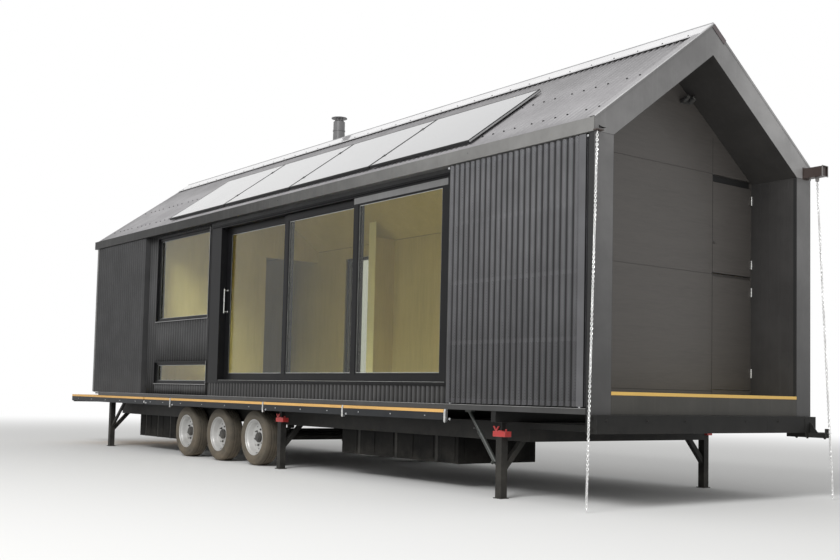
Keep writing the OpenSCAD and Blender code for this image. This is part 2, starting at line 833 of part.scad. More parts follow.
module sliding_leaf(x0, y0) {
    leaf(x0, y0, leaf_z0, leaf_z1);
    for (x = [x0 + leaf_roller_in, x0 + leaf_w - leaf_roller_in])
        pin(x, y0 + leaf_gap, y0 + leaf_t - leaf_gap, zc + door_sill + seat + roller_r, roller_r);
}

module window_frames() {
    color("#333437") {
        sash(kitchen_x, kitchen_w, sash_y, zc + kitchen_sill, kitchen_h);
        sash(kitchen_x, kitchen_w, sash_y, zc + low_sill, low_h);
        sash(back_window_x, back_window_w, back_sash_y, back_window_z, back_window_h);
    }
}

module window_panes() {
    color("#8fa095", 0.5) {
        pane(kitchen_x, kitchen_w, sash_y, zc + kitchen_sill, kitchen_h);
        pane(kitchen_x, kitchen_w, sash_y, zc + low_sill, low_h);
        pane(back_window_x, back_window_w, back_sash_y, back_window_z, back_window_h);
        leaf_pane(fixed_x, track_y);
    }
}

module door_frame() {
    z0 = zc + door_sill;
    color("#333437") {
        difference() {
            block(door_x - jamb_w, panel_x + side_panel_w, core_y, core_in, z0 - sill_t, z0 + door_h + head_t);
            block(door_x, panel_x, core_y - lap, core_in + lap, z0, z0 + door_h);
        }
        leaf(fixed_x, track_y, z0, z0 + door_h);
    }
}

module middle_leaf() {
    color("#38393c") sliding_leaf(middle_x, track_y + track_pitch);
}

module middle_pane() {
    color("#8fa095", 0.5) leaf_pane(middle_x, track_y + track_pitch);
}

module leading_leaf() {
    color("#38393c") sliding_leaf(leading_x, track_y + 2 * track_pitch);
}

module leading_pane() {
    color("#8fa095", 0.5) leaf_pane(leading_x, track_y + 2 * track_pitch);
}

module pull_handle() {
    y1 = track_y + 2 * track_pitch;
    x = leading_x + leaf_w - stile_w / 2;
    z0 = zc + pull_z - pull_h / 2;
    r = pull_bar / 2;
    y0 = y1 - pull_out + r;
    color("#c9cacb") {
        translate([-x, y0, z0]) cylinder(h = pull_h, r = r, $fn = 32);
        for (z = [z0 + pull_arm_in, z0 + pull_h - pull_arm_in])
            pin(x, y0, y1, z, r - lap);
    }
}

module side_screen() {
    w = screen_waves * wave_pitch;
    z0 = z_base + screen_gap + door_gap;
    z1 = z_gutter - screen_gap;
    front = waves(screen_x, 0, screen_waves);
    rear = [for (i = [len(front) - 1:-1:0]) front[i] + [0, sheet_t]];
    y0 = wave_d + sheet_t - seat;
    y1 = y0 + screen_frame_d;
    color("#44464a") {
        translate([0, 0, z0]) linear_extrude(z1 - z0) polygon(concat(front, rear));
        difference() {
            block(screen_x, screen_x + w, y0, y1, z0, z1);
            block(screen_x + screen_frame_w, screen_x + w - screen_frame_w, y0 - lap, y1 + lap,
                z0 + screen_frame_w, z1 - screen_frame_w);
        }
        for (x = [screen_x + screen_roller_in, screen_x + w - screen_roller_in])
            pin(x, y0 + 2, y1 - 2, z_base + seat + roller_r, roller_r);
        for (x = [screen_x - guide_r * 0.7, screen_x + w + guide_r * 0.7])
            pin(x, y0 + 2, y1 - 2, z1 - guide_r - door_gap, guide_r);
    }
}

module base_ledge() {
    color("#77797a") {
        block(frame_t, house_l - 270, -6, core_in, zc, z_base);
        block(frame_t, left_in, back_in, house_w + 6, zc, z_base);
    }
}

// Skirts, from the first bracket to the end of the platform
skirt_ends = concat(bracket_xs, [skirt_joint_x, left_end + skirt_gap]);
z_skirt = zc - skirt_drop - strip_h;

module skirt_run(z0, z1) {
    both_sides() for (i = [0:len(skirt_ends) - 2])
        block(skirt_ends[i] + skirt_gap, skirt_ends[i + 1] - skirt_gap, -skirt_t, 0, z0, z1);
}

module skirt_boards() {
    color("#3c4148") skirt_run(z_skirt - skirt_h, z_skirt);
}

module skirt_strips() {
    color("#d09a55") skirt_run(z_skirt, zc - skirt_drop);
}

module skirt_brackets() {
    color("#c8c9c8") both_sides() for (x = bracket_xs)
        block(x - bracket_w / 2, x + bracket_w / 2, -skirt_t, 0, z_skirt - skirt_h - skirt_gap, zc);
}

// Legs
module leg(x, top) {
    block(x - leg_s / 2, x + leg_s / 2, leg_in - leg_s / 2, leg_in + leg_s / 2, 0, top);
}

// Brace from the inner face of a leg up to the foot of the rail
module cross_brace(x) {
    y0 = leg_in + leg_s / 2;
    y1 = rail_in + rail_w - groove;
    climb = (z_rail - brace_z) / (y1 - y0);
    v = brace_s * sqrt(1 + climb * climb);
    prism(x - brace_s / 2, x + brace_s / 2, [[y0, brace_z], [y1, z_rail], [y1 - v / climb, z_rail],
        [y0, brace_z + v]]);
}

// Brace from the last leg along the house, up to a cross member
module long_brace() {
    x0 = end_leg_x - leg_s / 2;
    climb = (z_cross - long_brace_z) / (x0 - long_brace_x);
    thin = brace_s * 0.7;
    v = thin * sqrt(1 + climb * climb);
    slab(leg_in - thin / 2, leg_in + thin / 2, [[x0, long_brace_z], [long_brace_x, z_cross],
        [long_brace_x + v / climb, z_cross], [x0, long_brace_z + v]]);
}

module legs() {
    r = jack_post / 2;
    color("#2c2c2e") both_sides() {
        for (x = [gable_leg_x, middle_leg_x]) {
            leg(x, z_jack);
            block(x - r, x + r, leg_in - r, leg_in + r, z_jack - lap, z_cross);
        }
        leg(end_leg_x, z_cross);
        for (x = leg_xs)
            cross_brace(x);
        long_brace();
    }
}

// Telescopic strut on the near gable leg
module leg_strut() {
    x0 = gable_leg_x + leg_s / 2;
    foot = at(x0 + strut_r * 2, leg_in, strut_z);
    top = at(x0 + strut_l, leg_in, zc - strut_r);
    middle = foot + 0.6 * (top - foot);
    lug = strut_r / 3;
    color("#9a9c98") {
        block(x0, x0 + strut_r * 2, leg_in - lug, leg_in + lug, strut_z - strut_r, strut_z + strut_r);
        pin(x0 + strut_r * 2, leg_in - leg_s / 2, leg_in + leg_s / 2, strut_z, strut_r / 2);
        rod(foot, middle, strut_r);
        rod(middle, top, strut_r - 6);
        block(x0 + strut_l - strut_r * 2, x0 + strut_l + strut_r * 2, leg_in - strut_r, leg_in + strut_r,
            zc - strut_r, zc);
    }
}

module jack_heads() {
    y0 = leg_in - leg_s / 2;
    z1 = z_jack + jack_bar_h;
    fork = jack_l / 2;
    color("#a8262a") both_sides() for (x = [gable_leg_x, middle_leg_x]) {
        difference() {
            block(x - jack_l / 2, x + jack_l / 2, y0, leg_in + leg_s / 2, z_jack, z1);
            block(x - jack_post / 2 - seat, x + jack_post / 2 + seat, leg_in - jack_post / 2 - seat,
                leg_in + jack_post / 2 + seat, z_jack - lap, z1 + lap);
        }
        slab(y0, y0 + groove * 2, [[x + fork, z1 + jack_key_h], [x + fork * 0.8, z1 + jack_key_h],
            [x + fork * 0.5, z1 + jack_key_h * 0.3], [x + fork * 0.2, z1 + jack_key_h], [x, z1 + jack_key_h],
            [x + fork * 0.4, z1], [x + fork * 0.6, z1]]);
    }
}

// Running gear
module axles() {
    hanger = rail_w / 8;
    color("#303032") for (i = [0:2]) {
        x = axle_x + i * axle_pitch;
        pin(x, rail_in, house_w - rail_in, axle_h, axle_r);
        pin(x, wheel_in + hub_r, house_w - wheel_in - hub_r, axle_h, stub_r);
        both_sides() block(x - axle_r - hanger, x + axle_r + hanger, rail_in + hanger,
            rail_in + rail_w - hanger, axle_h, z_rail);
    }
}

// Moves a wheel part to wheel i of a side, its outer face towards +Z
module at_wheel(i, side) {
    y = wheel_in + tyre_w / 2;
    x = axle_x + (i - 1) * axle_pitch;
    translate([-x, side == 0 ? y : house_w - y, axle_h]) rotate([side == 0 ? 90 : -90, 0, 0]) children();
}

module tyre(i, side) {
    half = tyre_w / 2;
    floor_r = tyre_r - tread_d;
    w = tread_w / 2;
    grooves = [for (g = [-half / 3, 0, half / 3], p = [[tyre_r, -w], [floor_r, -w], [floor_r, w], [tyre_r, w]])
        [p[0], g + p[1]]];
    color("#26262a") at_wheel(i, side) rotate_extrude($fn = 96) polygon(concat([[rim_r + seat, -half + 12],
        [tyre_r - 70, -half], [tyre_r - 18, -half + 12], [tyre_r, -half + 40]], grooves, [[tyre_r, half - 40],
        [tyre_r - 18, half - 12], [tyre_r - 70, half], [rim_r + seat, half - 12]]));
}

module rim(i, side) {
    half = tyre_w / 2 - 12;
    color("#b9bbbc") at_wheel(i, side) rotate_extrude($fn = 96) polygon([[stub_r + seat, -30], [hub_r, -30],
        [hub_r + 20, -14], [rim_r - 50, -14], [rim_r - 26, -30], [rim_r - 18, -half], [rim_r, -half],
        [rim_r, half], [rim_r - 8, half], [rim_r - 12, half - 14], [rim_r - 26, half - 30], [rim_r - 44, 6],
        [hub_r + 30, 6], [hub_r + 10, 18], [hub_r, 18], [hub_r, 40], [stub_r + seat, 40]]);
}

module tanks() {
    y0 = rail_in + rail_w;
    y1 = house_w / 2 - rail_w;
    x1 = house_l - short_tank_in;
    color("#1d1d1f") {
        block(x1 - short_tank_l, x1, y0, y1, z_cross - tank_h - 25, z_cross);
        block(tank_x, tank_x + tank_l, y0, y1, z_cross - tank_h + 25, z_cross);
    }
}

// Porch fittings
module porch_light() {
    color("#2e2e30") translate([-porch_d, house_w / 2 + light_in, z_ridge - light_drop]) {
        translate([0, -2.4 * lamp_r, -lamp_r * 0.6]) cube([lamp_r * 1.6, 4.8 * lamp_r, lamp_r * 1.2]);
        for (s = [-1, 1])
            translate([lamp_r * 1.6, s * 1.8 * lamp_r, 0]) rotate([0, 60, 0])
                cylinder(h = lamp_l, r = lamp_r, $fn = 32);
    }
}

pin_x = door_face - knuckle_r - 3;
pin_y = locker_y1 - knuckle_r - 1;

upper_hinges = [z_upper + hinge_in, z_upper + upper_door_h - hinge_in - hinge_h];
lower_hinges = [z_lower + low_hinge_in, z_lower + lower_door_h - hinge_in - hinge_h];

// Door with its two hinge leaves
module locker_door(z0, h, hinges) {
    y1 = locker_y1 - 2 * door_gap;
    block(door_face, door_face + locker_door_t, locker_y0 + door_gap, y1, z0, z0 + h);
    for (z = hinges)
        block(door_face - 3 + seat, door_face, y1 - 6 * knuckle_r, y1, z, z + hinge_h);
}

module upper_locker_door() {
    y0 = locker_y0 + 3 * door_gap;
    z0 = z_upper + latch_up;
    color("#4a4845") {
        locker_door(z_upper, upper_door_h, upper_hinges);
        pin(door_face - latch_out / 2, y0, y0 + latch_l, z0, latch_out / 2 - lap);
        block(door_face - latch_out / 2, door_face, y0 + lap, y0 + latch_l / 2, z0 - lap, z0 + lap);
    }
}

module lower_locker_door() {
    color("#4a4845") locker_door(z_lower, lower_door_h, lower_hinges);
}

module locker_hinges() {
    color("#c9cacb") for (z = concat(lower_hinges, upper_hinges)) {
        translate([-pin_x, pin_y, z]) cylinder(h = hinge_h, r = knuckle_r, $fn = 32);
        block(pin_x - 6, pin_x + 6, pin_y, locker_y1 - seat, z, z + hinge_h);
    }
}

module locker_lining() {
    x1 = porch_in + locker_depth;
    z1 = z_upper + upper_door_h;
    color("#b79a6c") difference() {
        block(porch_in, x1, locker_y0 - lining_t, back_in, z_lower - lining_t, z1 + lining_t);
        block(porch_in - lap, x1 - lining_t, locker_y0, back_in - lining_t, z_lower, z_shelf - locker_rail_h);
        block(porch_in - lap, x1 - lining_t, locker_y0, back_in - lining_t, z_shelf, z1);
    }
}

place() side_rails();
place() cross_members();
place() end_beam();
place() drawbar();
place() front_deck();
place() floor_platform();
place() floor_ply();
place() left_front_panel();
place() kitchen_wall();
place() base_strip();
place() head_beam();
place() right_front_wall();
place() back_wall();
place() left_gable_wall();
place() partitions();
place() porch_wall();
place() porch_wall_head();
place() porch_lining();
place() gable_frame();
place() roof_slopes();
place() ridge_cap();
place() gutters();
place() rain_chains();
place() flue();
place() solar_array();
place() window_frames();
place() window_panes();
place() door_frame();
place() middle_leaf();
place() middle_pane();
place() leading_leaf();
place() leading_pane();
place() pull_handle();
place() side_screen();
place() base_ledge();
place() skirt_boards();
place() skirt_strips();
place() skirt_brackets();
place() legs();
place() leg_strut();
place() jack_heads();
place() axles();
place() tanks();
place() porch_light();
place() upper_locker_door();
place() lower_locker_door();
place() locker_hinges();
place() locker_lining();
place() tyre(1, 0);  // near_tyre_1
place() tyre(2, 0);  // near_tyre_2
place() tyre(3, 0);  // near_tyre_3
place() rim(1, 0);  // near_rim_1
place() rim(2, 0);  // near_rim_2
place() rim(3, 0);  // near_rim_3
place() tyre(1, 1);  // far_tyre_1
place() tyre(2, 1);  // far_tyre_2
place() tyre(3, 1);  // far_tyre_3
place() rim(1, 1);  // far_rim_1
place() rim(2, 1);  // far_rim_2
place() rim(3, 1);  // far_rim_3
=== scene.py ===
"""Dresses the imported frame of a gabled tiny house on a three-axle trailer."""

import math

import bpy
from bpy.props import FloatProperty, FloatVectorProperty, PointerProperty
from mathutils import Matrix, Vector


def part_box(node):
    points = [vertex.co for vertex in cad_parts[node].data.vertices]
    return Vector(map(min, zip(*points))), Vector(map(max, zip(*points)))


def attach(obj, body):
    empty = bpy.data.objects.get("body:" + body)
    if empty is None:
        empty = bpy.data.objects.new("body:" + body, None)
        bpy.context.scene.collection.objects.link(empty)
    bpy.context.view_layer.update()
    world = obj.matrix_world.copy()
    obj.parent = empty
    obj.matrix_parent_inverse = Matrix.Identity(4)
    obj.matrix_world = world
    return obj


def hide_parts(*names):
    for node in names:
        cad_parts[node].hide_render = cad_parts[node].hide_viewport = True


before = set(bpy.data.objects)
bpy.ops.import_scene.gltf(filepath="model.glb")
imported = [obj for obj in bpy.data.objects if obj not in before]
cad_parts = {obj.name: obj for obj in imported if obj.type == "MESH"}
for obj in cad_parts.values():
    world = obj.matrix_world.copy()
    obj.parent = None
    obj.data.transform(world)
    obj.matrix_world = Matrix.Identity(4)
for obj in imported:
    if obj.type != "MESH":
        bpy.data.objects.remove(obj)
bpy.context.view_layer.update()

bl_info = {
    "name": "Tiny house on a trailer",
    "version": (1, 0, 0),
    "blender": (4, 5, 0),
    "location": "View3D > Sidebar > House",
    "description": "Dresses the frame of a trailer house with cladding, joinery, running gear and finishes",
    "category": "Object",
}

UP = Vector((0, 0, 1))
EAST = Vector((1, 0, 0))
NORTH = Vector((0, 1, 0))
TAU = math.tau
BLACK = (0.0, 0.0, 0.0)

# Planes of the frame, in metres
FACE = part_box("gable_frame")[1].x
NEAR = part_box("gable_frame")[0].y
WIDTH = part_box("gable_frame")[1].y - NEAR
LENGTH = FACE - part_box("left_front_panel")[0].x
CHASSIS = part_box("base_ledge")[0].z
CLAD_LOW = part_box("base_ledge")[1].z
CLAD_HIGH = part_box("left_front_panel")[1].z + 0.004
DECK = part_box("floor_ply")[1].z
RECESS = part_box("door_frame")[0].y - NEAR
SHEET = 0.017
SKIM = 0.0003
ROOF = 0.12
POST = 0.23
RAIL_LOW = CHASSIS - 0.1
SLOPE = math.radians(36)
RISE = math.tan(SLOPE)
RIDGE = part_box("roof_slopes")[1].z + SHEET / math.cos(SLOPE)
EAVE = RIDGE - WIDTH / 2 * RISE
LEGS = (1.21, 5.14, LENGTH - 0.59)

# Name, foot above the chassis, height and first hinge of each locker door
LOCKERS = (("upper", 1.403, 0.905, 0.078), ("lower", 0.247, 1.12, 0.126))


def at(a, y, z):
    """Point a metres from the porch face towards the drawbar, y from the glazed side, z above the ground"""
    return Vector((FACE - a, NEAR + y, z))


def sideways(y, a, z):
    return at(a, y, z)


def flip(y, far):
    """Distance from the glazed side, counted from the other side for a far piece"""
    return WIDTH - y if far else y


def span(node):
    """Range of a CAD node along the house, across it and in height, as at() counts them"""
    low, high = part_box(node)
    return (FACE - high.x, FACE - low.x), (low.y - NEAR, high.y - NEAR), (low.z, high.z)


# Window openings: range along the house, and ranges of height
KITCHEN = span("window_frames")[0]
KITCHEN_SILLS = ((span("window_frames")[2][1] - 1.215, span("window_frames")[2][1]),
                 (span("window_frames")[2][0], span("window_frames")[2][0] + 0.3))
BACK_WINDOW = ((KITCHEN[0] + 0.1, KITCHEN[0] + 1.0), (CHASSIS + 0.33, CHASSIS + 2.23))


def size_setting(name, description, default):
    return FloatProperty(name=name, description=description, default=default, subtype="DISTANCE")


def colour_setting(name, description, default):
    return FloatVectorProperty(name=name, description=description, default=default, subtype="COLOR",
                               min=0, max=1)


class HouseSizes(bpy.types.PropertyGroup):
    """Sizes of the cladding, fasteners and trim"""
    wave_pitch: size_setting("Wave pitch", "Pitch of the corrugated sheets", 0.0762)
    wave_depth: size_setting("Wave depth", "Depth of the corrugated sheets", 0.0165)
    sheet: size_setting("Sheet thickness", "Thickness of the folded and corrugated sheet", 0.0012)
    screw: size_setting("Screw head", "Radius of a roofing screw's head", 0.0055)
    link: size_setting("Chain link", "Outer length of a rain chain link", 0.034)
    link_wire: size_setting("Link wire", "Radius of the chain's wire", 0.004)
    hole: size_setting("Screen hole", "Radius of a hole in the side screen", 0.0048)


class HouseColours(bpy.types.PropertyGroup):
    """Colours of the finishes"""
    cladding: colour_setting("Cladding", "Charcoal steel cladding", (0.06, 0.06, 0.061))
    roofing: colour_setting("Roofing", "Corrugated roof sheet", (0.33, 0.322, 0.33))
    flashing: colour_setting("Flashing", "Folded flashing of the gable", (0.135, 0.133, 0.132))
    joinery: colour_setting("Joinery", "Window and door frames", (0.009, 0.009, 0.0098))
    screen: colour_setting("Screen", "Perforated side screen", (0.1, 0.1, 0.105))
    timber: colour_setting("Raw timber", "Bare timber strips and floor edge", (0.74, 0.43, 0.13))
    porch: colour_setting("Porch boards", "Stained ply of the porch", (0.082, 0.075, 0.069))
    lining: colour_setting("Interior ply", "Pale ply inside the house", (0.58, 0.48, 0.21))


def sizes():
    return bpy.context.scene.house_sizes


def across(way):
    """Two directions square to a unit direction and to each other"""
    u = way.orthogonal().normalized()
    return u, way.cross(u)


def circle(centre, u, v, radius, count):
    """Points round a centre, in the plane of two directions"""
    return [centre + (u * math.cos(TAU * k / count) + v * math.sin(TAU * k / count)) * radius
            for k in range(count)]


class Solid:
    """Collects the corners and faces of one piece before it becomes a mesh"""

    def __init__(self):
        self.points = []
        self.faces = []

    def add(self, points, faces):
        start = len(self.points)
        self.points += [Vector(p) for p in points]
        self.faces += [[i + start for i in face] for face in faces]

    def box(self, a, b):
        """Box between two opposite corners"""
        low = Vector(map(min, a, b))
        high = Vector(map(max, a, b))
        corners = [Vector((x, y, z)) for z in (low.z, high.z) for y in (low.y, high.y)
                   for x in (low.x, high.x)]
        self.add(corners, [(0, 2, 3, 1), (4, 5, 7, 6), (0, 1, 5, 4), (1, 3, 7, 5), (3, 2, 6, 7), (2, 0, 4, 6)])

    def loft(self, rings, loop=False, caps=True):
        """Skin through rings that have the same number of points; loop joins the last ring to the first"""
        n = len(rings[0])
        last = len(rings) if loop else len(rings) - 1
        faces = []
        for i in range(last):
            j = (i + 1) % len(rings)
            for k in range(n):
                m = (k + 1) % n
                faces.append((i * n + k, i * n + m, j * n + m, j * n + k))
        if caps and not loop:
            faces.append(tuple(range(n))[::-1])
            faces.append(tuple((len(rings) - 1) * n + k for k in range(n)))
        self.add([p for ring in rings for p in ring], faces)

    def bar(self, a, b, width, depth):
        """Rectangular bar between two points; depth is measured upwards"""
        along = (b - a).normalized()
        side = along.cross(UP).normalized()
        back = side.cross(along).normalized()
        ring = [side * (sx * width / 2) + back * (sy * depth / 2) for sx,
                sy in ((-1, -1), (1, -1), (1, 1), (-1, 1))]
        self.loft([[a + r for r in ring], [b + r for r in ring]])

    def rod(self, a, b, radius, sides=12, end_radius=None):
        """Round bar between two points"""
        u, v = across((b - a).normalized())
        self.loft([circle(a, u, v, radius, sides), circle(b, u, v, end_radius or radius, sides)])

    def lathe(self, centre, axis, profile, sides=48, loop=False):
        """Profile of (distance along the axis, radius) pairs turned about the axis"""
        axis = Vector(axis).normalized()
        u, v = across(axis)
        self.loft([circle(centre + axis * along, u, v, radius, sides) for along, radius in profile], loop=loop)

    def tube(self, path, radius, sides=8, loop=False):
        """Round wire along a path"""
        n = len(path)
        rings = []
        side = None
        for i, p in enumerate(path):
            before = path[i - 1] if (i or loop) else p
            after = path[(i + 1) % n] if (i < n - 1 or loop) else p
            along = (after - before).normalized()
            if side is None:
                side = along.orthogonal().normalized()
            side = (side - along * side.dot(along)).normalized()
            rings.append(circle(p, side, along.cross(side), radius, sides))
        self.loft(rings, loop=loop)

    def screw(self, point, normal, size=None):
        """Hexagonal roofing screw on its washer"""
        r = size or sizes().screw
        normal = Vector(normal).normalized()
        u, v = across(normal)
        for count, foot, head, low, high in ((8, 1.7, 1.5, -0.2, 0.35), (6, 1.0, 0.92, 0.3, 1.15)):
            self.loft([circle(point + normal * (r * low), u, v, r * foot, count),
                       circle(point + normal * (r * high), u, v, r * head, count)])

    def make(self, name, look, slot_name, body="house", bevel=0.0, smooth=35, solidify=0.0):
        """Turns the piece into an object that rides on a CAD body"""
        mesh = bpy.data.meshes.new(name)
        mesh.from_pydata(self.points, [], self.faces)
        mesh.update()
        mesh.materials.append(finish(look))
        mesh.polygons.foreach_set("use_smooth", [True] * len(mesh.polygons))
        mesh.set_sharp_from_angle(angle=math.radians(smooth))
        piece = bpy.data.objects.new(name, mesh)
        bpy.context.scene.collection.objects.link(piece)
        if solidify:
            shell = piece.modifiers.new("Sheet", "SOLIDIFY")
            shell.thickness = solidify
            shell.offset = -1
        if bevel:
            edge = piece.modifiers.new("Edges", "BEVEL")
            edge.width = bevel
            edge.segments = 2
            edge.limit_method = "ANGLE"
            edge.angle_limit = math.radians(40)
            edge.harden_normals = True
        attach(piece, body)
        return piece


def wave(s):
    """Height of a corrugated sheet at a distance along it, from its valleys"""
    size = sizes()
    return size.wave_depth * (0.5 + 0.5 * math.cos(TAU * s / size.wave_pitch))


def stations(start, end):
    """Places along a sheet, spaced so that the waves of neighbouring sheets line up"""
    step = sizes().wave_pitch / 8
    first = math.floor(start / step) + 1
    last = math.ceil(end / step) - 1
    inner = [i * step for i in range(first, last + 1) if start + 1e-4 < i * step < end - 1e-4]
    return [start] + inner + [end]


def corrugated(solid, place, start, end, low, high):
    """Corrugated sheet; place(along, up, out) gives a point, and high may follow a function"""
    high_at = high if callable(high) else lambda s: high
    rows = stations(start, end)
    points = []
    for s in rows:
        points += [place(s, low, wave(s)), place(s, high_at(s), wave(s))]
    faces = [(2 * i, 2 * i + 2, 2 * i + 3, 2 * i + 1) for i in range(len(rows) - 1)]
    outward = place(start, low, 1) - place(start, low, 0)
    if (points[2] - points[0]).cross(points[1] - points[0]).dot(outward) < 0:
        faces = [face[::-1] for face in faces]
    solid.add(points, faces)


def crests(start, end, pattern=(2, 3, 2, 2)):
    """Crests that hold a screw, in the repeating spacing of lapped sheets"""
    pitch = sizes().wave_pitch
    at_crest = math.ceil(start / pitch)
    i = 0
    while at_crest * pitch < end:
        yield at_crest * pitch
        at_crest += pattern[i % len(pattern)]
        i += 1


# Node groups that several finishes share


def feed(tree, node, **inputs):
    """Plugs values or other nodes' outputs into a node; in0 is its first input"""
    for key, value in inputs.items():
        key = key.replace("_", " ")
        socket = node.inputs[int(key[2:])] if key.startswith("in") and key[2:].isdigit() else node.inputs[key]
        if isinstance(value, bpy.types.NodeSocket):
            tree.links.new(value, socket)
        else:
            socket.default_value = value


def add_node(tree, kind, settings=None, **inputs):
    """Node with its settings and inputs"""
    node = tree.nodes.new("ShaderNode" + kind)
    for key, value in (settings or {}).items():
        setattr(node, key, value)
    feed(tree, node, **inputs)
    return node


def position(tree):
    return add_node(tree, "TexCoord").outputs["Object"]


def calc(tree, operation, *values):
    """Result of a calculation with one or two values"""
    inputs = {f"in{i}": value for i, value in enumerate(values)}
    return add_node(tree, "Math", {"operation": operation}, **inputs).outputs[0]


def vector_calc(tree, operation, first, second, output="Vector"):
    """Result of a calculation with two vectors"""
    return add_node(tree, "VectorMath", {"operation": operation}, in0=first, in1=second).outputs[output]


def distance(tree, way):
    """How far a point lies along a direction"""
    return vector_calc(tree, "DOT_PRODUCT", position(tree), way, "Value")


def rescale(tree, value, low, high, soft=False):
    """Value that runs from nought at low to one at high"""
    settings = {"interpolation_type": "SMOOTHSTEP"} if soft else None
    return add_node(tree, "MapRange", settings, Value=value, From_Min=low, From_Max=high).outputs["Result"]


def noise(tree, place, scale, detail, rough=0.5, output="Fac"):
    return add_node(tree, "TexNoise", Vector=place, Scale=scale, Detail=detail,
                    Roughness=rough).outputs[output]


def part_of(tree, vector, axis):
    return add_node(tree, "SeparateXYZ", Vector=vector).outputs[axis]


def blotches(tree, given):
    """Soft uneven patches, as on weathered paint"""
    cloud = noise(tree, position(tree), given["Scale"], 6.0, 0.6)
    return rescale(tree, cloud, given["Low"], given["High"], soft=True)


def road_dust(tree, given):
    """Road dust that is thickest near the ground and settles on upward faces"""
    place = position(tree)
    facing = part_of(tree, add_node(tree, "NewGeometry").outputs["Normal"], "Z")
    low = rescale(tree, part_of(tree, place, "Z"), given["Top"], 0.0, soft=True)
    settled = calc(tree, "MULTIPLY", rescale(tree, facing, 0.3, 1.0), given["Settled"])
    cloud = rescale(tree, noise(tree, place, given["Scale"], 8.0, 0.65), 0.3, 0.65)
    return calc(tree, "MULTIPLY", calc(tree, "MAXIMUM", low, settled), cloud)


def rain_streaks(tree, given):
    """Rain streaks that run down a wall or a roof"""
    stretch = add_node(tree, "CombineXYZ", X=given["Width"], Y=given["Width"],
                       Z=given["Length"]).outputs["Vector"]
    scaled = vector_calc(tree, "MULTIPLY", position(tree), stretch)
    return rescale(tree, noise(tree, scaled, 1.0, 4.0, 0.55), 0.5, 0.75, soft=True)


def wood_grain(tree, given):
    """Wood grain: long fibres and slow colour bands, along the direction with the smallest stretch"""
    scaled = vector_calc(tree, "MULTIPLY", position(tree), given["Stretch"])
    warp = noise(tree, scaled, 0.35, 3.0, output="Color")
    bend = add_node(tree, "VectorMath", {"operation": "SCALE"}, in0=warp,
                    Scale=given["Knots"]).outputs["Vector"]
    bent = vector_calc(tree, "ADD", scaled, bend)
    return {"Grain": noise(tree, bent, 3.0, 8.0, 0.7), "Band": noise(tree, bent, 0.45, 3.0, 0.5)}


def edge_wear(tree, given):
    """Bright line along hard edges: partly worn paint, partly a painted edge highlight"""
    rounded = add_node(tree, "Bevel", {"samples": 4}, Radius=given["Width"]).outputs["Normal"]
    shape = add_node(tree, "NewGeometry").outputs["Normal"]
    edge = rescale(tree, vector_calc(tree, "DOT_PRODUCT", rounded, shape, "Value"), 0.99, 0.85)
    broken = rescale(tree, noise(tree, position(tree), 18.0, 5.0), 0.4, 0.6)
    return calc(tree, "MULTIPLY", calc(tree, "MULTIPLY", edge, broken), given["Amount"])


def perforations(tree, given):
    """Round holes in staggered rows, counted along the house and up"""
    place = position(tree)
    nearest = []
    for shift in (0.0, 0.5):
        squares = []
        for axis, pitch in (("X", "Across"), ("Z", "Up")):
            steps = calc(tree, "DIVIDE", part_of(tree, place, axis), given[pitch])
            share = calc(tree, "FRACT", calc(tree, "ADD", steps, shift))
            length = calc(tree, "MULTIPLY", calc(tree, "SUBTRACT", share, 0.5), given[pitch])
            squares.append(calc(tree, "POWER", length, 2.0))
        nearest.append(calc(tree, "SQRT", calc(tree, "ADD", *squares)))
    return calc(tree, "LESS_THAN", calc(tree, "MINIMUM", *nearest), given["Radius"])


def sheet_ribs(tree, given):
    """Crests of a corrugated sheet, counted along a direction; the mask for painted shade in the valleys"""
    moved = calc(tree, "ADD", distance(tree, given["Direction"]), given["Shift"])
    turn = calc(tree, "MULTIPLY", calc(tree, "DIVIDE", moved, given["Pitch"]), TAU)
    return rescale(tree, calc(tree, "COSINE", turn), -1.0, given["Width"])


def slow_fade(tree, given):
    """Painted shade: slow change of tone along a direction, standing in for how light falls across a surface
    """
    return rescale(tree, distance(tree, given["Direction"]), given["Start"], given["End"], soft=True)


def solar_cells(tree, given):
    """Thin lines between square cells on the roof slope"""
    lines = []
    for way in ((1.0, 0.0, 0.0), (0.0, math.cos(SLOPE), math.sin(SLOPE))):
        share = calc(tree, "FRACT", calc(tree, "DIVIDE", distance(tree, way), given["Cell"]))
        lines.append(calc(tree, "LESS_THAN", share, given["Line"]))
    return calc(tree, "MAXIMUM", *lines)


def ply_layers(tree, given):
    """Thin darker plies across the edge of a board"""
    steps = calc(tree, "DIVIDE", part_of(tree, position(tree), "Z"), given["Pitch"])
    return rescale(tree, calc(tree, "PINGPONG", steps, 1.0), 0.3, 0.7, soft=True)


GROUPS = {
    blotches: {"Scale": 3.0, "Low": 0.35, "High": 0.7},
    road_dust: {"Top": 1.4, "Scale": 6.0, "Settled": 0.3},
    rain_streaks: {"Width": 24.0, "Length": 0.7},
    wood_grain: {"Stretch": (1.5, 30.0, 30.0), "Knots": 0.35},
    edge_wear: {"Width": 0.004, "Amount": 0.5},
    perforations: {"Across": 0.01905, "Up": 0.0254, "Radius": 0.005},
    sheet_ribs: {"Direction": (-1.0, 0.0, 0.0), "Pitch": 0.0762, "Shift": 0.0, "Width": 0.9},
    slow_fade: {"Direction": (0.0, 0.0, 1.0), "Start": 0.0, "End": 1.0},
    solar_cells: {"Cell": 0.158, "Line": 0.022},
    ply_layers: {"Pitch": 0.0045},
}
made_groups = {}


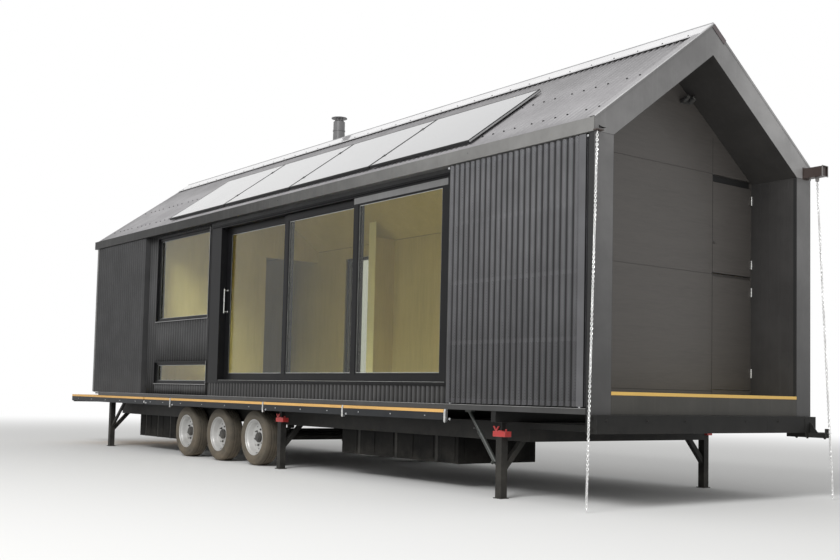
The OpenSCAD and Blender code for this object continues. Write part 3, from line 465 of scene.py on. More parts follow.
def shared_group(build):
    """Shader group with named sockets, made once; build fills it and gives its outputs"""
    if build not in made_groups:
        group = bpy.data.node_groups.new(build.__name__.replace("_", " ").capitalize(), "ShaderNodeTree")
        for label, default in GROUPS[build].items():
            kind = "NodeSocketVector" if isinstance(default, tuple) else "NodeSocketFloat"
            group.interface.new_socket(label, in_out="INPUT", socket_type=kind).default_value = default
        results = build(group, group.nodes.new("NodeGroupInput").outputs)
        results = results if isinstance(results, dict) else {"Mask": results}
        for label in results:
            group.interface.new_socket(label, in_out="OUTPUT", socket_type="NodeSocketFloat")
        end = group.nodes.new("NodeGroupOutput")
        for label, socket in results.items():
            group.links.new(socket, end.inputs[label])
        made_groups[build] = group
    return made_groups[build]


def effect(tree, build, output="Mask", **inputs):
    """Output of a shared group, placed in a material with its own values"""
    node = tree.nodes.new("ShaderNodeGroup")
    node.node_tree = shared_group(build)
    for label, value in inputs.items():
        node.inputs[label].default_value = value
    return node.outputs[output]


# Finishes


def start_material(name):
    material = bpy.data.materials.new(name)
    material.use_nodes = True
    tree = material.node_tree
    tree.nodes.clear()
    output = tree.nodes.new("ShaderNodeOutputMaterial")
    shader = tree.nodes.new("ShaderNodeBsdfPrincipled")
    tree.links.new(shader.outputs["BSDF"], output.inputs["Surface"])
    return material, tree, shader, output


def mix_colour(tree, mask, base, over):
    """Colour that goes from base to over by a mask; either may be a socket or a plain colour"""
    node = tree.nodes.new("ShaderNodeMix")
    node.data_type = "RGBA"
    tree.links.new(mask, node.inputs["Factor"])
    for label, value in (("A", base), ("B", over)):
        socket = [s for s in node.inputs if s.name == label and s.type == "RGBA"][0]
        if isinstance(value, bpy.types.NodeSocket):
            tree.links.new(value, socket)
        else:
            socket.default_value = (*value[:3], 1.0)
    return [s for s in node.outputs if s.type == "RGBA"][0]


def mix_value(tree, mask, low, high):
    """Value that runs from low to high with a mask"""
    return add_node(tree, "MapRange", Value=mask, To_Min=low, To_Max=high).outputs["Result"]


def shade(colour, factor):
    return tuple(min(1.0, c * factor) for c in colour[:3])


def dusted(tree, colour, dust, dust_colour, **inputs):
    """Colour under a film of road dust, and the film's mask"""
    thin = calc(tree, "MULTIPLY", effect(tree, road_dust, **inputs), dust)
    return mix_colour(tree, thin, colour, dust_colour), thin


def relief(tree, height, strength, distance):
    return add_node(tree, "Bump", Height=height, Strength=strength, Distance=distance).outputs["Normal"]


def painted(name, colour, rough=0.45, dust=0.35, dust_top=1.3, streak=0.25, worn=0.0, coat=0.0, metallic=0.0,
            dust_colour=(0.2, 0.185, 0.16), bump=0.02, specular=0.5, ribs=None, fade=None):
    """Painted sheet or steel with uneven patches, rain streaks, road dust, and worn edges with a painted edge
    highlight

    ribs paints shade into the valleys of a sheet: (direction, origin, pitches to the first crest, width,
    darkness).
    The shade gradient darkens along a direction as painted shade: (direction, start, end, darkness at the
    start, darkness at the end)."""
    material, tree, shader, _ = start_material(name)
    patches = effect(tree, blotches, Scale=2.6, Low=0.3, High=0.72)
    colour_now = mix_colour(tree, patches, shade(colour, 0.86), shade(colour, 1.12))
    # Painted shade: the valleys of a corrugated sheet are darkened towards black
    if ribs:
        way, origin, first, width, dark = ribs
        pitch = sizes().wave_pitch
        crest = effect(tree, sheet_ribs, Direction=way, Pitch=pitch, Shift=origin - first * pitch, Width=width)
        colour_now = mix_colour(tree, mix_value(tree, crest, dark, 0.0), colour_now, BLACK)
    # Painted shade: a slow gradient darkens the colour along a direction
    if fade:
        way, start, end, dark_start, dark_end = fade
        share = effect(tree, slow_fade, Direction=way, Start=start, End=end)
        colour_now = mix_colour(tree, mix_value(tree, share, dark_start, dark_end), colour_now, BLACK)
    if streak:
        soft = calc(tree, "MULTIPLY", effect(tree, rain_streaks, Width=26.0, Length=0.8), streak)
        colour_now = mix_colour(tree, soft, colour_now, shade(colour, 1.45))
    # Light line on hard edges: partly wear, partly a painted highlight
    if worn:
        colour_now = mix_colour(tree, effect(tree, edge_wear, Width=0.005, Amount=worn), colour_now,
                                (0.32, 0.31, 0.3))
    if dust:
        colour_now, thin = dusted(tree, colour_now, dust, dust_colour, Top=dust_top, Scale=5.0, Settled=0.25)
        rough_now = mix_value(tree, thin, rough, min(1.0, rough + 0.45))
    else:
        rough_now = mix_value(tree, patches, rough * 0.85, min(1.0, rough * 1.2))
    skin = noise(tree, position(tree), 240.0, 2.0)
    feed(tree, shader, Base_Color=colour_now, Roughness=rough_now, Metallic=metallic, Coat_Weight=coat,
         Specular_IOR_Level=specular, Normal=relief(tree, skin, bump, 0.001))
    return material, tree, shader


def bare_metal(name, colour, rough=0.3, spangle=60.0, dust=0.15):
    """Galvanised or stainless steel with spangle and light handling marks"""
    material, tree, shader, _ = start_material(name)
    cells = add_node(tree, "TexVoronoi", Vector=position(tree), Scale=spangle)
    tone = add_node(tree, "SeparateColor", Color=cells.outputs["Color"]).outputs[0]
    colour_now = mix_colour(tree, tone, shade(colour, 0.78), shade(colour, 1.12))
    colour_now, _ = dusted(tree, colour_now, dust, (0.2, 0.18, 0.15), Top=1.0, Scale=7.0, Settled=0.2)
    patches = effect(tree, blotches, Scale=14.0, Low=0.3, High=0.7)
    feed(tree, shader, Base_Color=colour_now, Roughness=mix_value(tree, patches, rough * 0.75, rough * 1.4),
         Metallic=0.85)
    return material, tree, shader


def wooden(name, colour, stretch=(1.5, 30.0, 30.0), rough=0.6, dark=0.6, light=1.25, knots=0.5, dust=0.15,
           coat=0.0, bump=0.25):
    """Timber or ply with fibres along one direction"""
    material, tree, shader, _ = start_material(name)
    grain = effect(tree, wood_grain, "Grain", Stretch=stretch, Knots=knots)
    band = rescale(tree, grain.node.outputs["Band"], 0.35, 0.65)
    low = mix_colour(tree, band, shade(colour, dark), shade(colour, 1.0))
    colour_now = mix_colour(tree, rescale(tree, grain, 0.3, 0.7), low, shade(colour, light))
    colour_now, _ = dusted(tree, colour_now, dust, (0.2, 0.17, 0.13), Top=1.2, Scale=6.0, Settled=0.3)
    feed(tree, shader, Base_Color=colour_now, Coat_Weight=coat, Normal=relief(tree, grain, bump, 0.002),
         Roughness=mix_value(tree, grain, rough * 0.85, min(1.0, rough * 1.15)))
    return material, tree, shader


def glazed(name, colour):
    """Clear glazing that lets daylight through to the room behind it"""
    material, tree, shader, output = start_material(name)
    smears = effect(tree, rain_streaks, Width=5.0, Length=1.2)
    patches = effect(tree, blotches, Scale=1.6, Low=0.3, High=0.7)
    clean = mix_colour(tree, patches, colour, shade(colour, 1.06))
    # Painted shade: glass towards the far side of the house is darkened to half its colour, so the view
    # through the house reads dark
    back = effect(tree, slow_fade, Direction=(0.0, 1.0, 0.0), Start=0.9, End=1.3)
    feed(tree, shader, Base_Color=mix_colour(tree, back, clean, shade(colour, 0.5)), Transmission_Weight=1.0,
         Roughness=mix_value(tree, smears, 0.0, 0.035), IOR=1.27)
    clear = add_node(tree, "BsdfTransparent", Color=(0.8, 0.84, 0.8, 1.0)).outputs["BSDF"]
    shadow = add_node(tree, "LightPath").outputs["Is Shadow Ray"]
    both = add_node(tree, "MixShader", in0=shadow, in1=shader.outputs["BSDF"], in2=clear)
    tree.links.new(both.outputs["Shader"], output.inputs["Surface"])
    return material, tree, shader


def perforated(name, colour, **settings):
    """Screen paint with round holes cut out of it"""
    material, tree, shader = painted(name, colour, **settings)
    holes = effect(tree, perforations, Radius=sizes().hole)
    feed(tree, shader, Alpha=calc(tree, "SUBTRACT", 1.0, holes))
    return material, tree, shader


def solar_glass(name, colour):
    """Dark cells behind glass, with a painted sky reflection: the colour turns light grey at a low angle"""
    material, tree, shader, _ = start_material(name)
    patches = effect(tree, blotches, Scale=1.1, Low=0.3, High=0.7)
    cells = mix_colour(tree, patches, colour, (0.013, 0.018, 0.04))
    lined = mix_colour(tree, effect(tree, solar_cells), cells, (0.16, 0.17, 0.19))
    # Painted reflection: the base colour turns light grey where the glass is seen at a low angle
    angle = add_node(tree, "LayerWeight", Blend=0.5).outputs["Facing"]
    feed(tree, shader, Base_Color=mix_colour(tree, rescale(tree, angle, 0.7, 0.88), lined, (0.4, 0.398, 0.4)),
         Roughness=mix_value(tree, patches, 0.1, 0.16), Coat_Weight=0.5, Coat_Roughness=0.08)
    return material, tree, shader


def edge_ply(name, colour, **settings):
    """Bright cut edge of the porch floor"""
    material, tree, shader = wooden(name, colour, **settings)
    base = shader.inputs["Base Color"].links[0].from_socket
    feed(tree, shader, Base_Color=mix_colour(tree, effect(tree, ply_layers), base, (0.62, 0.36, 0.1)))
    return material, tree, shader


WEST = (-1.0, 0.0, 0.0)
RIBBED = {"rough": 0.4, "dust": 0.2, "dust_top": 1.5, "streak": 0.1, "specular": 0.2}
FOLDED = {"rough": 0.4, "dust": 0.05, "dust_top": 1.2, "streak": 0.06, "specular": 0.4}

# Maker, colour and settings of each finish; a colour may be one of the panel's with a factor
FINISHES = {
    "Charcoal cladding": (painted, ("cladding", 1.0), dict(
        rough=0.5, dust=0.2, dust_top=1.5, streak=0.15, specular=0.15)),
    # Painted shade: the ribs setting darkens the valleys of the wall sheets and of the base strip
    "Charcoal sheets along": (painted, ("cladding", 1.1), dict(RIBBED, ribs=(WEST, FACE, 0.0, 0.8, 0.4))),
    "Charcoal sheets across": (painted, ("cladding", 1.1), dict(
        RIBBED, ribs=((0.0, 1.0, 0.0), -NEAR, 0.0, 0.8, 0.4))),
    "Charcoal base strip": (painted, ("cladding", 1.3), dict(
        RIBBED, ribs=(WEST, FACE - 2.0354, 0.5, 0.9, 0.9))),
    "Pale corner trim": (painted, (0.34, 0.34, 0.335), dict(rough=0.4, dust=0.15)),
    # Painted shade: the roof sheets darken slowly towards the porch gable
    "Grey roofing": (painted, ("roofing", 1.07), dict(
        rough=0.38, dust=0.1, dust_top=0.2, streak=0.12, fade=((1.0, 0.0, 0.0), -5.0, 6.0, 0.0, 0.22))),
    # Painted sky reflection: the ridge cap is coloured light grey, close to white
    "Ridge capping": (painted, (0.62, 0.61, 0.62), dict(rough=0.22, dust=0.0, streak=0.05, coat=1.0)),
    "Ridge roll": (painted, (0.3, 0.3, 0.305), dict(rough=0.35, dust=0.0, streak=0.05)),
    "Ridge stop end": (painted, (0.1, 0.08, 0.082), dict(rough=0.4, dust=0.1)),
    # Painted highlight: a light-grey copy of the flashing for the lit edges of the rakes
    "Rake flashing": (painted, (0.66, 0.655, 0.66), dict(rough=0.3, dust=0.0, streak=0.05, coat=0.5)),
    # Painted light and shade: a lit copy of the flashing colour, 2.3 times lighter, that darkens towards the
    # glazed side
    "Grey flashing": (painted, ("flashing", 2.3), dict(FOLDED, fade=((0.0, 1.0, 0.0), -0.3, 0.9, 0.45, 0.0))),
    # Painted shade: a shaded copy of the flashing colour, darker towards the bottom of the posts
    "Post flashing": (painted, ("flashing", 1.05), dict(FOLDED, fade=((0.0, 0.0, 1.0), 0.6, 3.1, 0.6, 0.0))),
    # Dark porch soffit, also used to paint shade on the inner faces of the gable frame
    "Dark soffit": (painted, (0.05, 0.048, 0.047), dict(rough=0.5, dust=0.1, specular=0.3)),
    "Dark roof screw": (painted, (0.02, 0.02, 0.021), dict(rough=0.5, dust=0.05, streak=0.0, specular=0.3)),
    # Painted shade: the gutter face darkens towards the drawbar end
    "Fascia": (painted, (0.2, 0.198, 0.192), dict(
        rough=0.38, dust=0.06, dust_top=1.0, streak=0.06, specular=0.12,
        fade=((1.0, 0.0, 0.0), -1.5, 6.0, 0.88, 0.0))),
    "Spout paint": (painted, (0.05, 0.036, 0.032), dict(rough=0.4, dust=0.1)),
    "Spout lip": (painted, (0.2, 0.19, 0.185), dict(rough=0.4, dust=0.1)),
    "Bright chain": (bare_metal, (0.85, 0.85, 0.84), dict(rough=0.35, dust=0.0)),
    "Flue paint": (painted, (0.15, 0.148, 0.15), dict(rough=0.4, dust=0.1, dust_top=0.1)),
    "Solar glass": (solar_glass, (0.008, 0.012, 0.028), {}),
    "Black panel frame": (painted, (0.01, 0.01, 0.011), dict(rough=0.45, dust=0.05, streak=0.0)),
    "Grey frame web": (painted, (0.4, 0.4, 0.4), dict(rough=0.4, dust=0.1, streak=0.0)),
    "Rail aluminium": (bare_metal, (0.5, 0.51, 0.52), dict(rough=0.35)),
    "Charcoal joinery": (painted, ("joinery", 1.0), dict(
        rough=0.36, dust=0.08, dust_top=1.5, streak=0.0, specular=0.12)),
    "Window glass": (glazed, (0.885, 0.905, 0.81), {}),
    # Black for seals and joints, also used for strips of painted shadow in the porch and on the gable frame
    "Black rubber seal": (painted, (0.012, 0.012, 0.012), dict(rough=0.7, dust=0.1, streak=0.0)),
    "Spacer bar": (bare_metal, (0.55, 0.56, 0.54), dict(rough=0.4, spangle=120.0, dust=0.0)),
    "Pale top rail": (painted, (0.12, 0.12, 0.12), dict(rough=0.35, dust=0.1)),
    "Satin stainless": (bare_metal, (0.66, 0.66, 0.65), dict(rough=0.22, spangle=200.0, dust=0.05)),
    # Painted shade: near-black valleys and a gradient darker towards the bottom, on a colour lightened 1.6
    # times to make up for them
    "Perforated screen": (perforated, ("screen", 1.6), dict(
        rough=0.36, dust=0.1, dust_top=1.3, streak=0.05, specular=0.3,
        ribs=(WEST, FACE - 0.098, 0.5, -0.1, 0.92), fade=((0.0, 0.0, 1.0), 0.9, 3.1, 0.42, 0.0))),
    "Screen paint": (painted, ("screen", 1.0), dict(
        rough=0.4, dust=0.1, dust_top=1.3, streak=0.1, specular=0.35)),
    "Ledge flashing": (painted, (0.05, 0.05, 0.05), dict(rough=0.4, dust=0.15, dust_top=1.2, specular=0.25)),
    # Painted highlight: the lip along the ledge's top edge is pale where it catches the light
    "Ledge lip": (painted, (0.36, 0.36, 0.355), dict(rough=0.3, dust=0.2)),
    "Stained porch ply": (wooden, ("porch", 1.0), dict(
        stretch=(20.0, 1.6, 20.0), rough=0.5, dark=0.84, light=1.18, bump=0.1, coat=0.05, knots=1.6)),
    "Ply edge": (edge_ply, (0.95, 0.62, 0.14), dict(
        stretch=(2.0, 2.0, 40.0), rough=0.5, dark=0.85, light=1.1, dust=0.1)),
    "Edge board": (painted, (0.052, 0.05, 0.044), dict(rough=0.5, dust=0.2, dust_top=1.3, specular=0.3)),
    "Dark screw": (painted, (0.03, 0.03, 0.03), dict(rough=0.4)),
    "Bright hinge": (bare_metal, (0.8, 0.8, 0.78), dict(rough=0.25)),
    "Lamp case": (painted, (0.06, 0.06, 0.06), dict(rough=0.4)),
    "Lamp lens": (painted, (0.16, 0.16, 0.15), dict(rough=0.08, dust=0.05, streak=0.0, coat=1.0)),
    "Tyre rubber": (painted, (0.1, 0.09, 0.074), dict(
        rough=0.8, dust=0.9, dust_top=0.9, streak=0.0, dust_colour=(0.2, 0.165, 0.12), bump=0.2,
        specular=0.25)),
    "Silver rim paint": (painted, (0.53, 0.53, 0.52), dict(
        rough=0.34, dust=0.3, dust_top=0.75, streak=0.0, metallic=0.25, dust_colour=(0.26, 0.22, 0.17))),
    "Dark hub": (painted, (0.03, 0.029, 0.028), dict(rough=0.5, dust=0.5, dust_top=0.8, streak=0.0)),
    "Black chassis paint": (painted, (0.016, 0.016, 0.0155), dict(
        rough=0.5, dust=0.26, dust_top=0.9, streak=0.0, worn=0.12, specular=0.14)),
    "Black tank plastic": (painted, (0.006, 0.006, 0.006), dict(
        rough=0.6, dust=0.25, dust_top=0.6, streak=0.0, specular=0.08)),
    "Dull strut steel": (painted, (0.045, 0.05, 0.046), dict(
        rough=0.4, dust=0.2, dust_top=0.6, streak=0.0, worn=0.7, specular=0.4)),
    "Red jack paint": (painted, (0.5, 0.03, 0.028), dict(
        rough=0.4, dust=0.25, dust_top=0.9, streak=0.0, worn=0.5)),
    "Backplate": (painted, (0.05, 0.042, 0.036), dict(rough=0.7, dust=0.6, dust_top=0.9, streak=0.0)),
    "Worn coupling": (painted, (0.06, 0.06, 0.062), dict(
        rough=0.4, dust=0.3, dust_top=0.9, worn=0.6, streak=0.0)),
    "Galvanised steel": (bare_metal, (0.62, 0.63, 0.64), dict(rough=0.32)),
    "Bright zinc": (bare_metal, (0.78, 0.78, 0.76), dict(rough=0.28)),
    "Black platform board": (painted, (0.05, 0.05, 0.048), dict(rough=0.55, dust=0.3, dust_top=1.2)),
    "Blue-grey skirt paint": (painted, (0.014, 0.016, 0.019), dict(
        rough=0.45, dust=0.15, dust_top=1.1, specular=0.2)),
    "Raw timber": (wooden, ("timber", 1.0), dict(
        stretch=(1.2, 26.0, 26.0), rough=0.62, dark=0.72, light=1.15)),
    "Interior ply": (wooden, ("lining", 1.0), dict(
        stretch=(14.0, 14.0, 0.9), rough=0.45, dark=0.86, light=1.1, bump=0.05, dust=0.0)),
    "Pale ply edge": (wooden, (0.95, 0.88, 0.5), dict(
        stretch=(14.0, 14.0, 0.9), dark=0.95, light=1.0, dust=0.0)),
}
made_finishes = {}


def finish(name):
    """Material of one finish, made when it is first asked for"""
    if name not in made_finishes:
        maker, colour, settings = FINISHES[name]
        if isinstance(colour[0], str):
            label, factor = colour
            colour = shade(getattr(bpy.context.scene.house_colours, label), factor)
        made_finishes[name] = maker(name, colour, **settings)[0]
    return made_finishes[name]


def frame_ring(solid, place, x0, x1, z0, z1, width, front, back, grow=0.0):
    """Mitred frame of four bars, larger by grow on each side; place(x, y, z) gives a point"""
    outer, inner = [[(x0 - g, z0 - g), (x1 + g, z0 - g), (x1 + g, z1 + g), (x0 - g, z1 + g)]
                    for g in (grow, grow - width)]
    for i in range(4):
        j = (i + 1) % 4
        outline = [outer[i], outer[j], inner[j], inner[i]]
        solid.loft([[place(x, front, z) for x, z in outline], [place(x, back, z) for x, z in outline]])


def on_slope(s, up, out, far=False):
    """Point on the roof: s along the house, up from the eave line, out from the crests of the sheets"""
    y = up * math.cos(SLOPE) - out * math.sin(SLOPE)
    z = EAVE + up * math.sin(SLOPE) + out * math.cos(SLOPE)
    return at(s, flip(y, far), z)


def slab(solid, x0, x1, u0, u1, low, high, far=False):
    """Flat bar that lies on a roof slope"""
    ring = ((x0, u0), (x1, u0), (x1, u1), (x0, u1))
    solid.loft([[on_slope(s, u, out, far) for s, u in ring] for out in (low, high)])


def roof_under(y):
    """Height of the underside of the roof"""
    return EAVE - ROOF / math.cos(SLOPE) + min(y, WIDTH - y) * RISE


LOOKS = {
    "Charcoal cladding": "left_front_panel kitchen_wall head_beam right_front_wall back_wall left_gable_wall",
    "Charcoal base strip": "base_strip",
    "Dark soffit": "porch_lining",
    "Grey flashing": "gable_frame",
    "Grey roofing": "roof_slopes",
    "Ridge capping": "ridge_cap",
    "Charcoal joinery": "window_frames door_frame middle_leaf leading_leaf",
    "Black chassis paint": "side_rails cross_members end_beam drawbar legs axles",
    "Galvanised steel": "skirt_brackets",
    "Bright hinge": "locker_hinges",
    "Satin stainless": "pull_handle",
    "Dull strut steel": "leg_strut",
    "Raw timber": "skirt_strips front_deck",
    "Stained porch ply": "porch_wall porch_wall_head upper_locker_door lower_locker_door",
    "Interior ply": "floor_ply locker_lining partitions",
    "Black tank plastic": "tanks",
    "Lamp case": "porch_light",
    "Red jack paint": "jack_heads",
    "Black platform board": "floor_platform",
    "Blue-grey skirt paint": "skirt_boards",
    "Ledge flashing": "base_ledge",
    "Flue paint": "flue",
    "Window glass": "window_panes middle_pane leading_pane",
}


class HOUSE_OT_frame(bpy.types.Operator):
    """Finishes of the CAD nodes that are shown as they are"""
    bl_idname = "house.frame"
    bl_label = "Frame finishes"

    def execute(self, context):
        for look, nodes in LOOKS.items():
            for node in nodes.split():
                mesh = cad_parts[node].data
                mesh.materials.clear()
                mesh.materials.append(finish(look))
        return {"FINISHED"}


class HOUSE_OT_cladding(bpy.types.Operator):
    """Corrugated wall sheets with their screws and trims"""
    bl_idname = "house.cladding"
    bl_label = "Wall sheets"

    def execute(self, context):
        paint = "Charcoal sheets along"
        crosswise = "Charcoal sheets across"
        low, high = CLAD_LOW + 0.004, CLAD_HIGH - 0.004

        def near(s, up, out):
            return at(s, RECESS + SHEET - SKIM - out, up)

        def back(s, up, out):
            return at(s, WIDTH - SHEET + SKIM + out, up)

        def end(s, up, out):
            return at(LENGTH - SHEET + SKIM + out, s, up)

        rows = [low + 0.05 + i * 0.55 for i in range(5)]
        (x0, x1), (upper, lower) = KITCHEN, KITCHEN_SILLS
        parts = [(7.103, x0, low, high), (x1, 9.113, low, high), (x0, x1, low, lower[0]),
                 (x0, x1, lower[1], upper[0]), (x0, x1, upper[1], high)]
        self.sheet("kitchen_sheet", near, parts, paint, (low + 0.05, CHASSIS + 0.6, CHASSIS + 1.05))
        self.sheet("right_front_sheet", near, [(0.062, 1.998, low, high)], paint, (low + 0.05, high - 0.06))
        (x0, x1), (z0, z1) = BACK_WINDOW
        parts = [(0.062, x0, low, high), (x1, LENGTH, low, high), (x0, x1, low, z0), (x0, x1, z1, high)]
        self.sheet("back_sheet", back, parts, paint, rows)
        slope = [(0.099, WIDTH - 0.082, CHASSIS + 0.01, lambda y: roof_under(y) - 0.003),
                 (WIDTH - 0.082, WIDTH - 0.002, CHASSIS + 0.01, high)]
        self.sheet("left_gable_sheet", end, slope, crosswise, rows)
        self.trims()
        return {"FINISHED"}

    def sheet(self, name, place, parts, paint, rows):
        skin = Solid()
        screws = Solid()
        for start, stop, low, high in parts:
            corrugated(skin, place, start, stop, low, high)
            for s in crests(start + 0.03, stop - 0.03, (3, 4, 3)):
                top = high(s) if callable(high) else high
                for z in rows:
                    if low + 0.02 < z < top - 0.02:
                        screws.screw(place(s, z, wave(s)), place(s, z, 1) - place(s, z, 0), size=0.0045)
        skin.make(name, paint, "cladding", smooth=60, solidify=sizes().sheet)
        screws.make(name.replace("sheet", "screws"), paint, "cladding")

    def trims(self):
        """Folded trims that cover the cut edges of the sheets"""
        trim = Solid()
        high = CLAD_HIGH - 0.004
        x0, x1 = KITCHEN
        for z0, z1 in KITCHEN_SILLS:
            frame_ring(trim, at, x0, x1, z0, z1, 0.0135, RECESS - 0.002, RECESS + 0.03, grow=0.012)
        (x0, x1), (z0, z1) = BACK_WINDOW
        frame_ring(trim, at, x0, x1, z0, z1, 0.0315, WIDTH - 0.02, WIDTH + 0.003, grow=0.03)
        trim.box(at(LENGTH - 0.03, WIDTH - 0.0025, CHASSIS + 0.01), at(LENGTH + 0.003, WIDTH + 0.0025, high))
        trim.box(at(LENGTH - 0.0005, WIDTH - 0.03, CHASSIS + 0.01), at(LENGTH + 0.003, WIDTH + 0.0025, high))
        trim.make("corner_trims", "Charcoal joinery", "joinery", bevel=0.0012)
        edge = Solid()
        edge.box(at(LENGTH - 0.004, -0.0022, CLAD_LOW + 0.006), at(LENGTH + 0.0035, 0.03, high))
        x0, x1 = KITCHEN
        for z0, z1 in KITCHEN_SILLS:
            corner = at(x0 - 0.012, RECESS - 0.0035, z0 - 0.012)
            edge.box(corner, at(x0 - 0.004, RECESS - 0.0018, z1 + 0.01))
            edge.box(corner, at(x1 + 0.01, RECESS - 0.0018, z0 - 0.005))
        edge.make("pale_edges", "Pale corner trim", "flashing", bevel=0.0008)


class HOUSE_OT_roof(bpy.types.Operator):
    """Corrugated roof sheets, ridge fasteners, rake flashings"""
    bl_idname = "house.roof"
    bl_label = "Roof"

    def execute(self, context):
        length = WIDTH / 2 / math.cos(SLOPE)
        for side in ("near", "far"):
            sheet = Solid()
            screws = Solid()

            def place(s, up, out):
                return on_slope(s, up, out - SHEET + SKIM, side == "far")
            corrugated(sheet, place, 0.061, LENGTH + 0.012, 0.018, length - 0.01)
            normal = place(1, 0, 1) - place(1, 0, 0)
            for up in (0.26, 0.896):
                for s in crests(0.08, LENGTH - 0.05):
                    screws.screw(place(s, up, wave(s)), normal, size=0.0068)
            sheet.make(f"{side}_roof_sheet", "Grey roofing", "roofing", smooth=60, solidify=sizes().sheet)
            screws.make(f"{side}_roof_screws", "Dark roof screw", "roofing")
            self.ridge_fasteners(side, normal)
            self.rake(side)
        return {"FINISHED"}

    def ridge_fasteners(self, side, normal):
        """Screws and scalloped closure along one wing of the ridge cap"""
        screws = Solid()
        closure = Solid()
        wing = span("ridge_cap")[1][0]
        lift = 0.014 * math.cos(SLOPE) + 0.006
        up = (wing + 0.02) / math.cos(SLOPE)
        for i in range(36):
            screws.screw(on_slope(0.15 + i * 0.305, up, lift, side == "far"), normal)
        screws.make(f"{side}_ridge_screws", "Dark roof screw", "roofing")
        pitch = sizes().wave_pitch
        edge = wing / math.cos(SLOPE)

        def strip(start, stop, low, high):
            slab(closure, start, stop, edge - 0.01, edge + 0.004, low, high, side == "far")
        strip(0.09, LENGTH - 0.005, 0.001, 0.0085)
        for i in range(2, int(LENGTH / pitch)):
            strip((i + 0.25) * pitch, (i + 0.75) * pitch, -0.014, 0.001)
        closure.make(f"{side}_ridge_closure", "Black rubber seal", "roofing", bevel=0.002)
        if side == "far":
            roll = Solid()
            height = span("ridge_cap")[2][1] - 0.005
            roll.rod(at(0.002, WIDTH / 2, height), at(LENGTH + 0.02, WIDTH / 2, height), 0.009, sides=14)
            roll.make("ridge_roll", "Ridge roll", "flashing", smooth=60)
            stop_end = Solid()
            ring = [(-0.0065, -0.032), (-0.0025, -0.032), (-0.0025, 0.006), (0.088, 0.006), (0.088, 0.02),
                    (-0.0065, 0.02)]
            stop_end.loft([[on_slope(s, u, out, True) for s, out in ring] for u in (1.7, 1.912)])
            stop_end.make("ridge_stop_end", "Ridge stop end", "flashing", bevel=0.002)

    def rake(self, side):
        """Folded flashings along both ends of one slope"""
        length = WIDTH / 2 / math.cos(SLOPE)
        top = 0.014 * math.cos(SLOPE)
        for name, start, stop, lid, drop in (("gable", -0.002, 0.088, top, 0.022),
                                             ("left", LENGTH - 0.07, LENGTH + 0.022, 0.0015, 0.16)):
            face = start if name == "gable" else stop
            outer = face - 0.0015 if name == "gable" else face + 0.0015
            # The near slope's lip and the whole drawbar-end rake take the light highlight finish; the far
            # slope's lip stays plain grey
            bright = "Rake flashing"
            plain = "Grey flashing" if name == "gable" else bright
            edge = bright if side == "near" else plain
            fold = lid - 0.0075 if name == "gable" else lid - drop / 2
            parts = (("lid", "Grey roofing", lid + 0.0005, lid + 0.0025, start, stop),
                     ("lip", edge, fold, lid + 0.0025, face, outer),
                     ("rake", plain, lid - drop, fold, face, outer))
            for part, paint, low, high, x0, x1 in parts:
                flashing = Solid()
                ring = ((x0, low), (x1, low), (x1, high), (x0, high))
                flashing.loft([[on_slope(s, up, out, side == "far") for s, out in ring]
                               for up in (0.0, length)])
                flashing.make(f"{side}_{name}_{part}", paint, "flashing", bevel=0.0008)


